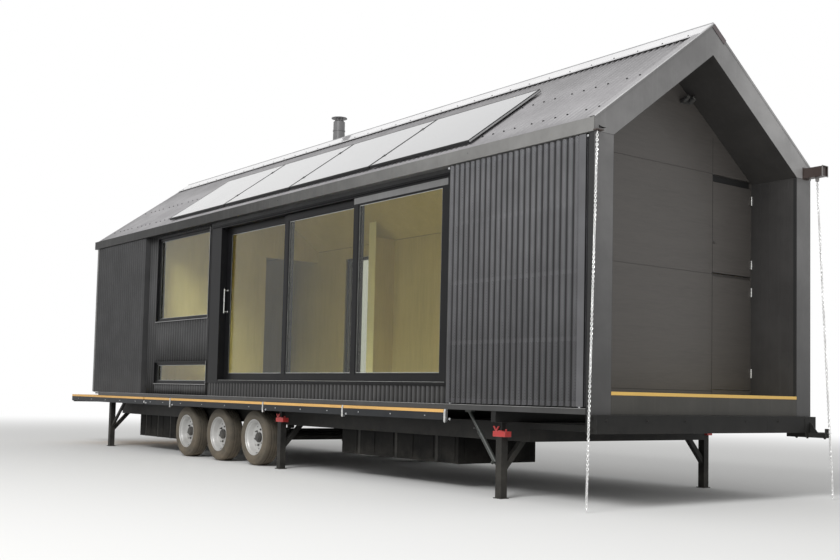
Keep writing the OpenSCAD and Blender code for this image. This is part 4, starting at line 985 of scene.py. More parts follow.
class HOUSE_OT_rainwater(bpy.types.Operator):
    """Box gutters, spout and rain chains"""
    bl_idname = "house.rainwater"
    bl_label = "Gutters and chains"

    def execute(self, context):
        low = CLAD_HIGH
        pieces = []
        for side, stop in (("near", LENGTH + 0.11), ("far", LENGTH)):
            trough = Solid()

            def corner(s, y, z):
                return at(s, flip(y, side == "far"), low + z)
            outline = [(-0.012, 0), (RECESS, 0), (RECESS, 0.12), (RECESS - 0.003, 0.12),
                       (RECESS - 0.003, 0.003), (-0.009, 0.003), (-0.009, 0.112), (0.002, 0.116),
                       (0.002, 0.122), (-0.012, 0.12)]
            trough.loft([[corner(s, y, z) for y, z in outline] for s in (0.06, stop)])
            for s in (0.06, stop - 0.002):
                trough.box(corner(s, -0.0118, 0.0005), corner(s + 0.002, RECESS - 0.0005, 0.118))
            trough.box(corner(0.0, -0.012, 0.0), corner(0.06, -0.0014, 0.12))
            for i in range(12):
                s = 0.35 + i * 0.92
                trough.box(corner(s, -0.009, 0.1), corner(s + 0.025, RECESS - 0.003, 0.104))
            for s in (3.62, 7.24):
                trough.box(corner(s - 0.02, -0.0127, -0.0006), corner(s + 0.02, -0.0118, 0.12))
            pieces.append(trough.make(f"{side}_gutter", "Fascia", "flashing", bevel=0.0015))
        rivets = Solid()
        for s in (1.63, 5.2, 9.1):
            rivets.rod(at(s, -0.0118, low + 0.07), at(s, -0.0145, low + 0.07), 0.004, sides=10)
        pieces.append(rivets.make("gutter_rivets", "Black rubber seal", "flashing"))
        spout = Solid()
        y = WIDTH - RECESS
        s0, z0, z1 = -0.215, low + 0.005, low + 0.105
        for a, b in (((y - 0.045, z0), (y + 0.045, z0 + 0.002)), ((y - 0.045, z1 - 0.002), (y + 0.045, z1)),
                     ((y - 0.045, z0), (y - 0.043, z1)), ((y + 0.043, z0), (y + 0.045, z1))):
            spout.box(at(s0, *a), at(0.0, *b))
        spout.box(at(s0 + 0.012, y - 0.043, z0 + 0.002), at(s0 + 0.014, y + 0.043, z1 - 0.002))
        lip = Solid()
        frame_ring(lip, sideways, y - 0.045, y + 0.045, z0, z1, 0.007, s0 - 0.004, s0 + 0.006, grow=0.005)
        lip.lathe(at(-0.13, y, z0), -UP, [(-0.002, 0.022), (0.002, 0.022), (0.003, 0.0195), (0.04, 0.0175),
                                           (0.04, 0.0155), (0.005, 0.0155)], sides=24)
        pieces.append(lip.make("spout_lip", "Spout lip", "flashing", bevel=0.001))
        frame_ring(spout, sideways, y - 0.055, y + 0.055, z0 - 0.012, z1 + 0.012, 0.0115, -0.0025, 0.0)
        pieces.append(spout.make("spout", "Spout paint", "flashing", bevel=0.0012))
        hanger = Solid()
        hanger.box(at(-0.05, -0.02, low), at(0, 0.06, low + 0.01))
        hanger.tube(circle(at(-0.03, 0.0, low - 0.007), EAST, UP, 0.009, 14), 0.0022, loop=True)
        pieces.append(hanger.make("chain_hanger", "Spout paint", "flashing", bevel=0.001))
        for piece in pieces:
            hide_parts("gutters")
        self.chain("near_rain_chain", at(-0.03, 0.0, low - 0.012), at(-0.03, -0.076, 0.014))
        self.chain("far_rain_chain", at(-0.13, y, z0 - 0.045), at(-0.296, y, 0.014))
        hook = Solid()
        height = CHASSIS - 0.1495
        hook.rod(at(-0.08, y, height), at(-0.248, y, height), 0.005, sides=12)
        hook.tube(circle(at(-0.2625, y, height), EAST, NORTH, 0.0165, 18), 0.0035, loop=True)
        piece = hook.make("chain_hook", "Bright chain", "galvanised")
        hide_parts("rain_chains")
        return {"FINISHED"}

    def chain(self, name, top, foot):
        """Twisted links hung one through the other"""
        size = sizes()
        line = Solid()
        along = (foot - top).normalized()
        side = along.cross(NORTH).normalized()
        other = along.cross(side)
        pitch = size.link - 3.4 * size.link_wire
        count = int((foot - top).length / pitch)
        pitch = (foot - top).length / count
        reach, wide = size.link / 2 - size.link_wire, 0.0084
        for i in range(count):
            turn = math.radians(90 * (i % 2) + 38 + i * 3.5)
            u = side * math.cos(turn) + other * math.sin(turn)
            v = other * math.cos(turn) - side * math.sin(turn)
            centre = top + along * pitch * (i + 0.5)
            bend = [TAU * k / 12 for k in range(12)]
            line.tube([centre + along * reach * math.cos(t) + u * wide * math.sin(t)
                       + v * 0.002 * math.sin(2 * t) for t in bend], size.link_wire, sides=6, loop=True)
        piece = line.make(name, "Bright chain", "galvanised")
        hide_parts("rain_chains")


class HOUSE_OT_solar(bpy.types.Operator):
    """Solar panels with frames, rails, feet and clamps"""
    bl_idname = "house.solar"
    bl_label = "Solar panels"

    def execute(self, context):
        glass, frames, rails, webs = Solid(), Solid(), Solid(), Solid()
        start, stop = span("solar_array")[0]
        wide, tall, gap, low = (stop - start - 0.06) / 4, 1.15, 0.02, 0.12
        rail, top = 0.015, 0.045
        normal = on_slope(0, 0, 1) - on_slope(0, 0, 0)
        for i in range(4):
            x0 = start + i * (wide + gap)
            x1 = x0 + wide
            slab(glass, x0 + 0.009, x1 - 0.009, low + 0.009, low + tall - 0.009, top - 0.006, top - 0.0015)
            for width, high in ((0.013, top), (0.03, rail + 0.002)):
                frame_ring(frames, lambda s, out, up: on_slope(s, up, out),
                           x0, x1, low, low + tall, width, rail, high)
        for share in (0.22, 0.78):
            up = low + share * tall
            slab(rails, start + 0.06, stop - 0.06, up - 0.02, up + 0.02, 0.004, rail)
            slab(rails, start + 0.055, stop - 0.055, up - 0.006, up + 0.006, 0.0, rail - 0.003)
            for i in range(9):
                s = start + 0.25 + i * 0.74
                slab(rails, s, s + 0.04, up - 0.075, up - 0.02, 0.0005, 0.006)
                slab(rails, s, s + 0.04, up - 0.026, up - 0.02, 0.0005, rail - 0.002)
                rails.screw(on_slope(s + 0.02, up - 0.05, 0.006), normal)
            for i in range(3):
                s = start + (i + 1) * (wide + gap) - gap
                slab(frames, s - 0.008, s + 0.028, up - 0.025, up + 0.025, top + 0.0005, top + 0.0035)
                frames.screw(on_slope(s + 0.01, up, top + 0.0035), normal)
        for s in (start, start + 4 * wide + 3 * gap):
            slab(webs, s - 0.0006, s + 0.0006, low + 0.004, low + tall - 0.004, rail + 0.006, top - 0.008)
        pieces = [glass.make("solar_glass", "Solar glass", "solar_cells"),
                  frames.make("solar_frames", "Black panel frame", "solar_cells", bevel=0.0012),
                  rails.make("solar_rails", "Rail aluminium", "solar_cells", bevel=0.001),
                  webs.make("solar_frame_webs", "Grey frame web", "solar_cells")]
        for piece in pieces:
            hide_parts("solar_array")
        return {"FINISHED"}


class HOUSE_OT_joinery(bpy.types.Operator):
    """Glazing beads, seals, spacer bars and sills"""
    bl_idname = "house.joinery"
    bl_label = "Joinery"

    def execute(self, context):
        (x0, x1), (upper, lower) = KITCHEN, KITCHEN_SILLS
        width = 0.025
        for name, low, high in (("kitchen_window", *upper), ("low_window", *lower)):
            self.glazing(name, "house", x0 + width, x1 - width, low + width, high - width, 0.105, 0.165)
        (x0, x1), (z0, z1) = BACK_WINDOW
        y = WIDTH - 0.13 + 0.025
        self.glazing("back_window", "house", x0 + width, x1 - width, z0 + width, z1 - width, y, y + 0.06)
        z0, z1 = span("middle_pane")[2]
        x0 = span("door_frame")[0][0] + 0.03
        self.glazing("fixed_leaf", "house", x0 + 0.088, x0 + 1.572, z0, z1, 0.088, 0.123)
        for node in ("middle", "leading"):
            (x0, x1), (y0, y1), _ = span(f"{node}_pane")
            self.glazing(f"{node}_leaf", f"{node}_leaf", x0, x1, z0, z1, y0 - 0.0095, y1 + 0.0095)
        self.surrounds(z1)
        self.handle()
        return {"FINISHED"}

    def glazing(self, name, body, x0, x1, z0, z1, front, back):
        """Beads, seals and the spacer bar of one sealed unit"""
        beads, seals, spacer = Solid(), Solid(), Solid()
        mid = (front + back) / 2
        for face, glass in ((front, mid - 0.008), (back, mid + 0.008)):
            inward = 0.0025 if face < glass else -0.0025
            frame_ring(beads, at, x0, x1, z0, z1, 0.013, face + inward, glass - inward * 0.2)
            frame_ring(seals, at, x0, x1, z0, z1, 0.004, face + inward * 2.4, glass - inward * 0.1,
                       grow=-0.0125)
        frame_ring(spacer, at, x0, x1, z0, z1, 0.005, mid - 0.008, mid - 0.0085, grow=-0.017)
        frame_ring(seals, at, x0, x1, z0, z1, 0.0125, mid - 0.0075, mid + 0.0075, grow=0.0005)
        beads.make(f"{name}_beads", "Charcoal joinery", "joinery", body=body, bevel=0.001)
        seals.make(f"{name}_seals", "Black rubber seal", "joinery", body=body)
        spacer.make(f"{name}_spacer", "Spacer bar", "glazing", body=body)

    def surrounds(self, top):
        """Sill, head flashing and panel edges round the sliding doors"""
        trim = Solid()
        (x0, x1), _, (low, high) = span("door_frame")
        door = x0 + 0.03
        front = RECESS
        sill = low + 0.038
        trim.box(at(door - 0.03, front - 0.012, sill - 0.006), at(door + 4.77, front + 0.004, sill - 0.001))
        trim.box(at(door - 0.03, front - 0.012, sill - 0.024), at(door + 4.77, front - 0.009, sill - 0.001))
        trim.box(at(x0, front - 0.018, high - 0.004), at(x1, front, high))
        trim.box(at(x0, front - 0.018, high - 0.02), at(x1, front - 0.0155, high))
        for x in (door + 4.77, x1 - 0.012):
            trim.box(at(x, front - 0.0025, low + 0.002), at(x + 0.012, front, high - 0.022))
        trim.make("door_surround_trim", "Charcoal joinery", "joinery", bevel=0.0012)
        line = Solid()
        line.box(at(door + 0.002, front + 0.0045, sill + 0.0002),
                 at(door + 4.768, front + 0.0075, sill + 0.004))
        line.make("sill_track_edge", "Spacer bar", "joinery", bevel=0.0008)
        rail = Solid()
        rail.box(at(door + 0.004, 0.0855, top + 0.004), at(door + 1.656, 0.0875, top + 0.072))
        rail.make("fixed_leaf_top_rail", "Pale top rail", "joinery", bevel=0.0012)

    def handle(self):
        """Roses, collars and end caps of the D-shaped pull"""
        extra = Solid()
        (x0, x1), (y0, y1), (z0, z1) = span("pull_handle")
        x = (x0 + x1) / 2
        for z in (z0 + 0.02, z1 - 0.02):
            extra.lathe(at(x, y1 - 0.0002, z), -NORTH,
                        [(0, 0.014), (0.003, 0.014), (0.0045, 0.012), (0.0045, 0.007), (0.01, 0.0085),
                         (0.01, 0.0)],
                        sides=20)
        for z, lean in ((z0, -1), (z1, 1)):
            extra.lathe(at(x, y0 + 0.008, z), UP * lean,
                        [(0, 0.008), (0.0012, 0.0076), (0.002, 0.0062), (0.002, 0.0)], sides=20)
        extra.make("pull_fittings", "Satin stainless", "stainless", body="leading_leaf")


class HOUSE_OT_screen(bpy.types.Operator):
    """Perforated corrugated screen on its frame"""
    bl_idname = "house.screen"
    bl_label = "Side screen"

    def execute(self, context):
        _, (_, y1), (_, z1) = span("side_screen")
        pitch = sizes().wave_pitch
        x0, x1 = 0.098, 0.098 + 24 * pitch
        z0 = CLAD_LOW + 0.012
        sheet = Solid()
        rows = [x0 + i * pitch / 12 for i in range(24 * 12 + 1)]
        points = []
        for s in rows:
            depth = SHEET / 2 * (1 + math.cos(TAU * (s - x0) / pitch))
            points += [at(s, depth + 0.0002, z0), at(s, depth + 0.0002, z1)]
        sheet.add(points, [(2 * i, 2 * i + 2, 2 * i + 3, 2 * i + 1) for i in range(len(rows) - 1)])
        pieces = [sheet.make("screen_sheet", "Perforated screen", "screen_metal", body="side_screen",
                             smooth=60)]
        frame_parts = Solid()
        frame_ring(frame_parts, at, x0, x1, z0, z1, 0.04, 0.0199, y1 - 0.0005)
        frame_parts.box(at(x0, -0.0003, z0), at(x0 + 0.078, 0.0015, z1))
        for i in range(3):
            z = z0 + (z1 - z0) * (i + 1) / 4
            frame_parts.box(at(x0 + 0.04, 0.024, z - 0.015), at(x1 - 0.04, y1 - 0.001, z + 0.015))
        metal = Solid()
        for s in (x0 + 0.06, x1 - 0.06):
            metal.lathe(at(s, 0.022, CLAD_LOW + 0.0145), NORTH,
                        [(0, 0.0105), (0.0, 0.014), (0.005, 0.014), (0.007, 0.0115), (0.009, 0.0115),
                         (0.011, 0.014), (0.016, 0.014), (0.016, 0.0105)], sides=28)
        for s in (x0 - 0.0091, x1 + 0.0091):
            metal.lathe(at(s, 0.0075, z1 - 0.017), NORTH,
                        [(0, 0.009), (0.0015, 0.012), (0.004, 0.0128), (0.03, 0.0128), (0.03, 0.006)],
                        sides=24)
        for s in crests(x0 + 0.05, x1 - 0.05, (3, 4)):
            s = x0 + (round((s - x0) / pitch - 0.5) + 0.5) * pitch
            for z in (z0 + 0.03, z1 - 0.03):
                frame_parts.screw(at(s, 0.0002, z), -NORTH, size=0.0035)
        pieces.append(frame_parts.make("screen_frame", "Screen paint", "screen_metal", body="side_screen",
                                       bevel=0.0012))
        pieces.append(metal.make("screen_rollers", "Galvanised steel", "galvanised", body="side_screen"))
        for piece in pieces:
            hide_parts("side_screen")
        return {"FINISHED"}


class HOUSE_OT_porch(bpy.types.Operator):
    """Floor edge, board edges, locker fittings and light of the porch"""
    bl_idname = "house.porch"
    bl_label = "Porch"

    def execute(self, context):
        edge = Solid()
        inside = POST + 0.004
        for y0, y1 in ((inside, 2.262), (2.266, WIDTH - inside)):
            edge.box(at(-0.0025, y0, DECK - 0.028), at(0.012, y1, DECK + 0.0015))
        edge.make("porch_floor_edge", "Ply edge", "interior_ply", bevel=0.0012)
        lines = Solid()
        lines.box(at(0.5292, 0.231, DECK + 0.036), at(0.5302, 2.238, DECK + 0.04))
        lines.box(at(0.5292, 2.2385, DECK + 0.001), at(0.5302, 2.2415, RIDGE - 0.85))
        # Black band at the far post's inner edge: a joint gap with painted shadow
        lines.box(at(-0.0016, WIDTH - 0.243, CHASSIS + 0.002), at(0.03, WIDTH - 0.2332, CLAD_HIGH - 0.005))
        # Painted shade: a black panel in the recess over the upper locker door
        lines.box(at(0.5605, 2.244, CHASSIS + 2.3125), at(0.5645, 2.866, CHASSIS + 2.3835))
        lines.box(at(-0.0612, 2.317, CHASSIS - 0.15), at(-0.0598, 2.321, CHASSIS - 0.001))
        lines.make("porch_joint_lines", "Black rubber seal", "porch_board")
        folds = Solid()
        for y in (POST, WIDTH - POST - 0.0025):
            for a in (0.09, 0.2, 0.31, 0.42):
                folds.box(at(a, y, DECK + 0.001), at(a + 0.03, y + 0.0025, CLAD_HIGH - 0.004))
        folds.make("porch_lining_folds", "Dark soffit", "flashing", bevel=0.001)
        board = Solid()
        board.box(at(-0.002, inside, CHASSIS + 0.004), at(0.004, WIDTH - inside, DECK - 0.0285))
        board.make("porch_edge_board", "Edge board", "platform_board", bevel=0.002)
        self.wall_fittings()
        self.flashings()
        self.light()
        return {"FINISHED"}

    def wall_fittings(self):
        """Screws of the boards, hinge barrels and the latch plate"""
        screws = Solid()
        for up in (0.06, 0.6, 1.12, 1.25, 1.7, 2.12):
            for y in (0.27, 0.85, 1.45, 2.05, 2.2):
                screws.rod(at(0.5302, y, DECK + up), at(0.5292, y, DECK + up), 0.0032, sides=10)
        screws.make("porch_board_screws", "Dark screw", "porch_board")
        hinge = span("locker_hinges")[1][0] + 0.007
        pins = Solid()
        barrel = [(0, 0.006), (0.0005, 0.0074), (0.0163, 0.0074), (0.0168, 0.006)]
        for _, low, high, first in LOCKERS:
            for z in (low + first, low + high - 0.168):
                for k in range(5):
                    pins.lathe(at(0.522, hinge, CHASSIS + z + k * 0.018 + 0.0006), UP, barrel, sides=16)
        pins.make("hinge_barrels", "Bright hinge", "galvanised")
        for door, low, high, _ in LOCKERS:
            leaf = Solid()
            base = CHASSIS + low
            frame_ring(leaf, sideways, 2.247, 2.861, base + 0.001, base + high - 0.001, 0.004, 0.5312, 0.534)
            leaf.make(f"{door}_locker_edge", "Stained porch ply", "porch_board", body=f"{door}_locker_door",
                      bevel=0.0006)
        plate = Solid()
        z = CHASSIS + 1.403 + 0.298
        plate.lathe(at(0.532, 2.266, z), EAST, [(0, 0.013), (0.002, 0.013), (0.0035, 0.011), (0.0035, 0.0)],
                    sides=20)
        plate.make("latch_rose", "Dark screw", "porch_board", body="upper_locker_door")

    def flashings(self):
        """Folds and mitre joints of the flat gable frame, and strips of painted shade on its inner faces and
        beside the near post
        """
        fold = Solid()
        top = EAVE - POST / math.cos(SLOPE) + POST * RISE
        for y in (0.0, WIDTH - POST):
            fold.box(at(-0.0014, y, CHASSIS), at(0, y + POST, top))
        fold.make("post_flashings", "Post flashing", "flashing", bevel=0.0008)
        # Painted shadow: a black strip over the near post's side face, where the recess beside the screen lies
        # in shade
        shadow_strip = Solid()
        shadow_strip.box(at(0.001, -0.0012, CHASSIS + 0.002), at(0.0605, 0, CLAD_HIGH - 0.002))
        edge = [(-0.0016, -0.2295), (0.0605, -0.2295), (0.0605, -0.232), (-0.0016, -0.232)]
        shadow_strip.make("gable_shadow_liner", "Black rubber seal", "flashing")
        # Painted shade: dark strips on the inner faces of both posts and along the inner edges of both rakes
        inner = Solid()
        for y in (POST, WIDTH - POST - 0.003):
            inner.box(at(-0.0012, y, CHASSIS), at(0.0603, y + 0.003, top))
        for far in (False, True):
            inner.loft([[on_slope(s, up, out, far) for s, out in edge] for up in (0.1172, 1.7488)])
        inner.make("gable_inner_liner", "Dark soffit", "flashing")
        joints = Solid()
        for y in (0.0, WIDTH - POST):
            joints.box(at(-0.0022, y, top - 0.001), at(-0.0012, y + POST, top + 0.001))
        joints.make("gable_frame_joints", "Black rubber seal", "flashing")

    def light(self):
        """Lens, bezel and bracket of each lamp"""
        lens, case = Solid(), Solid()
        middle = sum(span("porch_light")[1]) / 2
        z = RIDGE - 0.576
        way = Vector((math.sin(math.radians(60)), 0, math.cos(math.radians(60))))
        for s in (-1, 1):
            foot = at(0.53 - 0.04, middle + s * 0.045, z)
            tip = foot + way * 0.06
            lens.lathe(tip, way, [(-0.002, 0.0225), (0.0008, 0.0225), (0.003, 0.016), (0.004, 0.0)], sides=28)
            case.lathe(tip, way, [(-0.006, 0.0268), (0.002, 0.0268), (0.002, 0.0235), (-0.001, 0.0235)],
                       sides=28)
            for k in range(4):
                case.lathe(foot + way * (0.006 + 0.008 * k), way, [(0, 0.0262), (0.003, 0.0262)], sides=24)
        lens.make("lamp_lenses", "Lamp lens", "flue_paint")
        case.make("lamp_bezels", "Lamp case", "flue_paint")


class HOUSE_OT_wheels(bpy.types.Operator):
    """Tyres with tread and rims with nuts and hubs"""
    bl_idname = "house.wheels"
    bl_label = "Wheels"

    def execute(self, context):
        for side in ("near", "far"):
            for i in (1, 2, 3):
                low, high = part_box(f"{side}_tyre_{i}")
                centre = (low + high) / 2
                out = -NORTH if side == "near" else NORTH
                self.tyre(f"{side}_tyre_{i}", f"{side}_wheel_{i}", centre, out)
                self.rim(f"{side}_rim_{i}", f"{side}_wheel_{i}", centre, out)
        return {"FINISHED"}

    def tyre(self, node, body, centre, out):
        """Carcass with grooves, shoulder lugs and sidewall rings"""
        profile = [(-0.0955, 0.2235), (-0.1, 0.236), (-0.1045, 0.25), (-0.1072, 0.27), (-0.1065, 0.285),
                   (-0.1045, 0.287), (-0.1, 0.305), (-0.0935, 0.325), (-0.078, 0.3375), (-0.0675, 0.3405)]
        crown = [(-0.052, 0.3415), (-0.04, 0.342), (-0.0395, 0.334), (-0.0325, 0.334), (-0.032, 0.342),
                 (-0.004, 0.343), (-0.0035, 0.335)]
        profile += crown
        profile += [(-a, b) for a, b in reversed(profile)]
        carcass = Solid()
        carcass.lathe(centre, out, profile, sides=72, loop=True)
        for k in range(54):
            for flank in (-1, 1):
                way = self.turn(out, k + (0.5 if flank > 0 else 0), 54)
                side = out.cross(way)
                foot = centre + out * flank * 0.0555
                ring = [foot + out * flank * a + side * s for a, s in ((-0.0135, -0.0125), (0.03, -0.0105),
                                                                      (0.03, 0.0105), (-0.0135, 0.0125))]
                drop = (0.339, 0.322, 0.322, 0.339)
                rise = (0.3428, 0.334, 0.334, 0.3428)
                carcass.loft([[p + way * d for p, d in zip(ring, radii)] for radii in (drop, rise)])
        piece = carcass.make(node.replace("tyre", "tread"), "Tyre rubber", "tyre_rubber", body=body,
                             smooth=28)
        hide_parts(node)

    def rim(self, node, body, centre, out):
        """Deep dish with hand holes, nuts and a hub cap"""
        dish, fittings = Solid(), Solid()
        profile = [(0.012, 0.062), (0.012, 0.072), (0.006, 0.092), (0.0055, 0.168), (0.009, 0.177),
                   (0.03, 0.187), (0.062, 0.195), (0.07, 0.2), (0.0775, 0.2085), (0.0835, 0.2095),
                   (0.0925, 0.2125), (0.0965, 0.2165), (0.0955, 0.2215), (0.088, 0.2225), (0.06, 0.2225)]
        back = [(-0.06, 0.2225), (-0.0955, 0.2215), (-0.0955, 0.204), (-0.03, 0.196), (-0.014, 0.17),
                (-0.014, 0.08), (-0.03, 0.062)]
        u, v = across(out)
        for outline in (profile, back):
            dish.loft([circle(centre + out * a, u, v, r, 64) for a, r in outline], caps=False)
        for k in range(10):
            spot = centre + self.turn(out, k, 10) * 0.143 + out * 0.0052
            fittings.lathe(spot, out, [(-0.004, 0.0095), (0.001, 0.0095), (0.0012, 0.0)], sides=16)
        for k in range(6):
            spot = centre + self.turn(out, k + 0.5, 6) * 0.1
            nut = ((0.005, 0.0125), (0.02, 0.0125), (0.0225, 0.01))
            fittings.loft([circle(spot + out * a, u, v, r, 6) for a, r in nut])
            fittings.lathe(spot, out, [(0.0215, 0.006), (0.029, 0.006), (0.03, 0.0045), (0.03, 0.0)], sides=10)
        fittings.lathe(centre, out, [(-0.02, 0.0615), (0.036, 0.0615), (0.04, 0.057), (0.0405, 0.047),
                                     (0.052, 0.044), (0.0535, 0.039), (0.0535, 0.012), (0.056, 0.01),
                                     (0.056, 0.0)], sides=40)
        stem = centre + self.turn(out, 1.3, 10) * 0.19
        fittings.rod(stem + out * 0.028, stem + out * 0.06, 0.0045, sides=8, end_radius=0.004)
        for piece, solid, paint in (("dish", dish, "Silver rim paint"), ("hub", fittings, "Dark hub")):
            made = solid.make(node.replace("rim", piece), paint, "rim_silver", body=body, smooth=32)
            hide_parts(node)

    def turn(self, out, k, count):
        """Direction k of count round an axle"""
        u, v = across(out)
        t = TAU * k / count
        return u * math.cos(t) + v * math.sin(t)


class HOUSE_OT_chassis(bpy.types.Operator):
    """Springs, bolts, welds, leg plates, jack collars and tank straps"""
    bl_idname = "house.chassis"
    bl_label = "Chassis"

    def execute(self, context):
        self.legs()
        self.springs()
        self.tanks()
        self.beams()
        return {"FINISHED"}

    def legs(self):
        feet, threads = Solid(), Solid()
        top = RAIL_LOW
        for far in (False, True):
            y = flip(0.11, far)
            for s in LEGS:
                feet.box(at(s - 0.052, y - 0.052, 0.0), at(s + 0.052, y + 0.052, 0.008))
                feet.box(at(s - 0.045, y - 0.045, top - 0.007), at(s + 0.045, y + 0.045, top - 0.0005))
                for dx in (-1, 1):
                    feet.screw(at(s + dx * 0.0385, y, top - 0.09), EAST * -dx, size=0.009)
            for s in LEGS[:2]:
                base = top - 0.083
                threads.box(at(s - 0.031, y - 0.031, base - 0.0005), at(s + 0.031, y + 0.031, base + 0.008))
                threads.rod(at(s - 0.055, y, base - 0.001), at(s - 0.055, y, base + 0.02), 0.008)
        feet.make("leg_plates", "Black chassis paint", "chassis", bevel=0.0015)
        threads.make("jack_collars", "Red jack paint", "jack_red", bevel=0.001)
        strut = Solid()
        a = at(1.292, 0.11, 0.32)
        b = at(1.668, 0.11, 0.768)
        for share in (0.575, 0.6):
            strut.rod(a + (b - a) * share, a + (b - a) * (share + 0.015), 0.026, sides=20)
        strut.rod(at(1.608, 0.15, CHASSIS - 0.176), at(1.56, 0.15, CHASSIS - 0.249), 0.006)
        strut.tube([at(1.608, 0.15, CHASSIS - 0.176), at(1.612, 0.135, CHASSIS - 0.168),
                    at(1.606, 0.11, CHASSIS - 0.17)], 0.0055)
        for dy in (-0.039, 0.039):
            strut.screw(at(1.292, 0.11 + dy, 0.32), NORTH * dy, size=0.011)
        strut.make("strut_fittings", "Dull strut steel", "galvanised")

    def springs(self):
        """Leaf springs, drums and shackles at each axle"""
        leaves, drums = Solid(), Solid()
        for far in (False, True):
            for i in range(3):
                s, z = 5.77 + 0.95 * i, 0.345
                y = flip(0.36, far)
                for k in range(5):
                    reach = 0.42 - 0.07 * k
                    low = z + 0.037 + 0.009 * (4 - k)
                    bow = (reach / 0.42) ** 2
                    path = [(share * reach, low + rise * bow) for share, rise in
                            ((-1, 0.07), (-0.5, 0.018), (0, 0), (0.5, 0.018), (1, 0.07))]
                    for (xa, za), (xb, zb) in zip(path, path[1:]):
                        leaves.bar(at(s + xa, y, za), at(s + xb, y, zb), 0.06, 0.008)
                for dx in (-0.42, 0.42):
                    leaves.rod(at(s + dx, y - 0.036, z + 0.15), at(s + dx, y + 0.036, z + 0.15), 0.02,
                               sides=14)
                    leaves.box(at(s + dx - 0.02, y - 0.042, z + 0.14), at(s + dx + 0.02, y - 0.034, z + 0.171))
                for dx in (-0.045, 0.045):
                    for dy in (-0.028, 0.028):
                        leaves.rod(at(s + dx, y + dy, z - 0.05), at(s + dx, y + dy, z + 0.1), 0.007, sides=8)
                leaves.box(at(s - 0.06, y - 0.04, z - 0.048), at(s + 0.06, y + 0.04, z - 0.036))
                out = NORTH if far else -NORTH
                hub = at(s, flip(0.3, far), z)
                drums.lathe(hub, out, [(-0.01, 0.05), (-0.008, 0.13), (0.006, 0.138), (0.0125, 0.138),
                                       (0.0125, 0.05)], sides=40)
        leaves.make("leaf_springs", "Black chassis paint", "chassis", bevel=0.001)
        drums.make("brake_backplates", "Backplate", "chassis", bevel=0.001)

    def tanks(self):
        """Straps and ribs of the tanks"""
        straps, ribs = Solid(), Solid()
        top = RAIL_LOW
        for s0, s1, low in ((2.18, 4.27, 0.24), (8.65, 9.95, 0.19)):
            y0, y1 = 0.4, WIDTH / 2 - 0.1
            for k in range(3):
                s = s0 + (s1 - s0) * (k + 0.5) / 3
                for y in (y0 - 0.0025, y1):
                    straps.box(at(s - 0.02, y, low - 0.002), at(s + 0.02, y + 0.0025, top))
                straps.box(at(s - 0.02, y0 - 0.0025, low - 0.0025), at(s + 0.02, y1 + 0.0025, low))
                straps.screw(at(s, y0 - 0.0025, top - 0.05), -NORTH, size=0.008)
            for k in range(6):
                s = s0 + (s1 - s0) * (k + 0.14) / 6
                for y in (y0 - 0.006, y1 - 0.001):
                    ribs.box(at(s, y, low + 0.03), at(s + (s1 - s0) / 9, y + 0.007, top - 0.04))
            for k in range(3):
                y = y0 + 0.08 + k * 0.32
                for s in (s0 - 0.006, s1 - 0.001):
                    ribs.box(at(s, y, low + 0.03), at(s + 0.007, y + 0.24, top - 0.04))
        straps.make("tank_straps", "Black chassis paint", "chassis", bevel=0.0008)
        ribs.make("tank_ribs", "Black tank plastic", "tank_plastic", bevel=0.005)

    def beams(self):
        """Weld beads and bolts of the beams, and the gusset of the chain's arm"""
        welds, bolts = Solid(), Solid()
        low = CHASSIS - 0.155
        for y in (0.3, 0.4, WIDTH - 0.4, WIDTH - 0.3):
            path = [at(0.0605, y, low + 0.002 + 0.0145 * k) for k in range(11)]
            welds.tube(path, 0.0045, sides=6)
        for y, out in ((0.0, -NORTH), (WIDTH, NORTH)):
            for z in (low + 0.03, CHASSIS - 0.03):
                bolts.screw(at(0.0, y, z), out, size=0.011)
        for y in (0.12, 0.62, 1.12, WIDTH - 1.12, WIDTH - 0.62):
            bolts.screw(at(-0.06, y, CHASSIS - 0.045), EAST, size=0.009)
        arm = 2.97
        for s in (-0.03, 0.09, -0.22):
            bolts.screw(at(s, arm + 0.035, span("end_beam")[2][0]), -UP, size=0.01)
        plate = Solid()
        plate.box(at(-0.064, arm - 0.05, low - 0.045), at(-0.0605, arm + 0.09, CHASSIS - 0.02))
        plate.loft([[at(s, y, z) for s, z in ((-0.064, low), (-0.064, CHASSIS - 0.05), (-0.15, low))]
                    for y in (arm + 0.03, arm + 0.038)])
        plate.make("chain_arm_gusset", "Black chassis paint", "chassis", bevel=0.001)
        welds.make("beam_welds", "Black chassis paint", "chassis")
        bolts.make("beam_bolts", "Black chassis paint", "chassis")
        self.coupling()

    def coupling(self):
        """Hitch head, its handle and bolts, and the loops of the drawbar"""
        head = Solid()
        y = WIDTH / 2
        tip = span("drawbar")[0][1]
        z = CHASSIS - 0.042
        head.lathe(at(tip - 0.06, y, z + 0.023), UP,
                   [(0, 0.042), (0.01, 0.048), (0.02, 0.046), (0.03, 0.034), (0.034, 0.0)], sides=32)
        head.box(at(tip - 0.27, y - 0.03, z - 0.0005), at(tip - 0.1, y + 0.03, z + 0.026))
        head.tube([at(tip - 0.24 + 0.14 * k / 8, y, z + 0.025 + 0.035 * math.sin(math.pi * k / 8))
                   for k in range(9)], 0.007)
        for dx in (0.22, 0.3):
            for dy in (-0.036, 0.036):
                head.screw(at(tip - dx, y + dy, z), UP, size=0.009)
        for dy in (-0.09, 0.09):
            head.tube(circle(at(tip - 0.33, y + dy, z - 0.095), NORTH, UP, 0.022, 16), 0.005, loop=True)
        head.make("coupling_head", "Worn coupling", "chassis", bevel=0.0015)


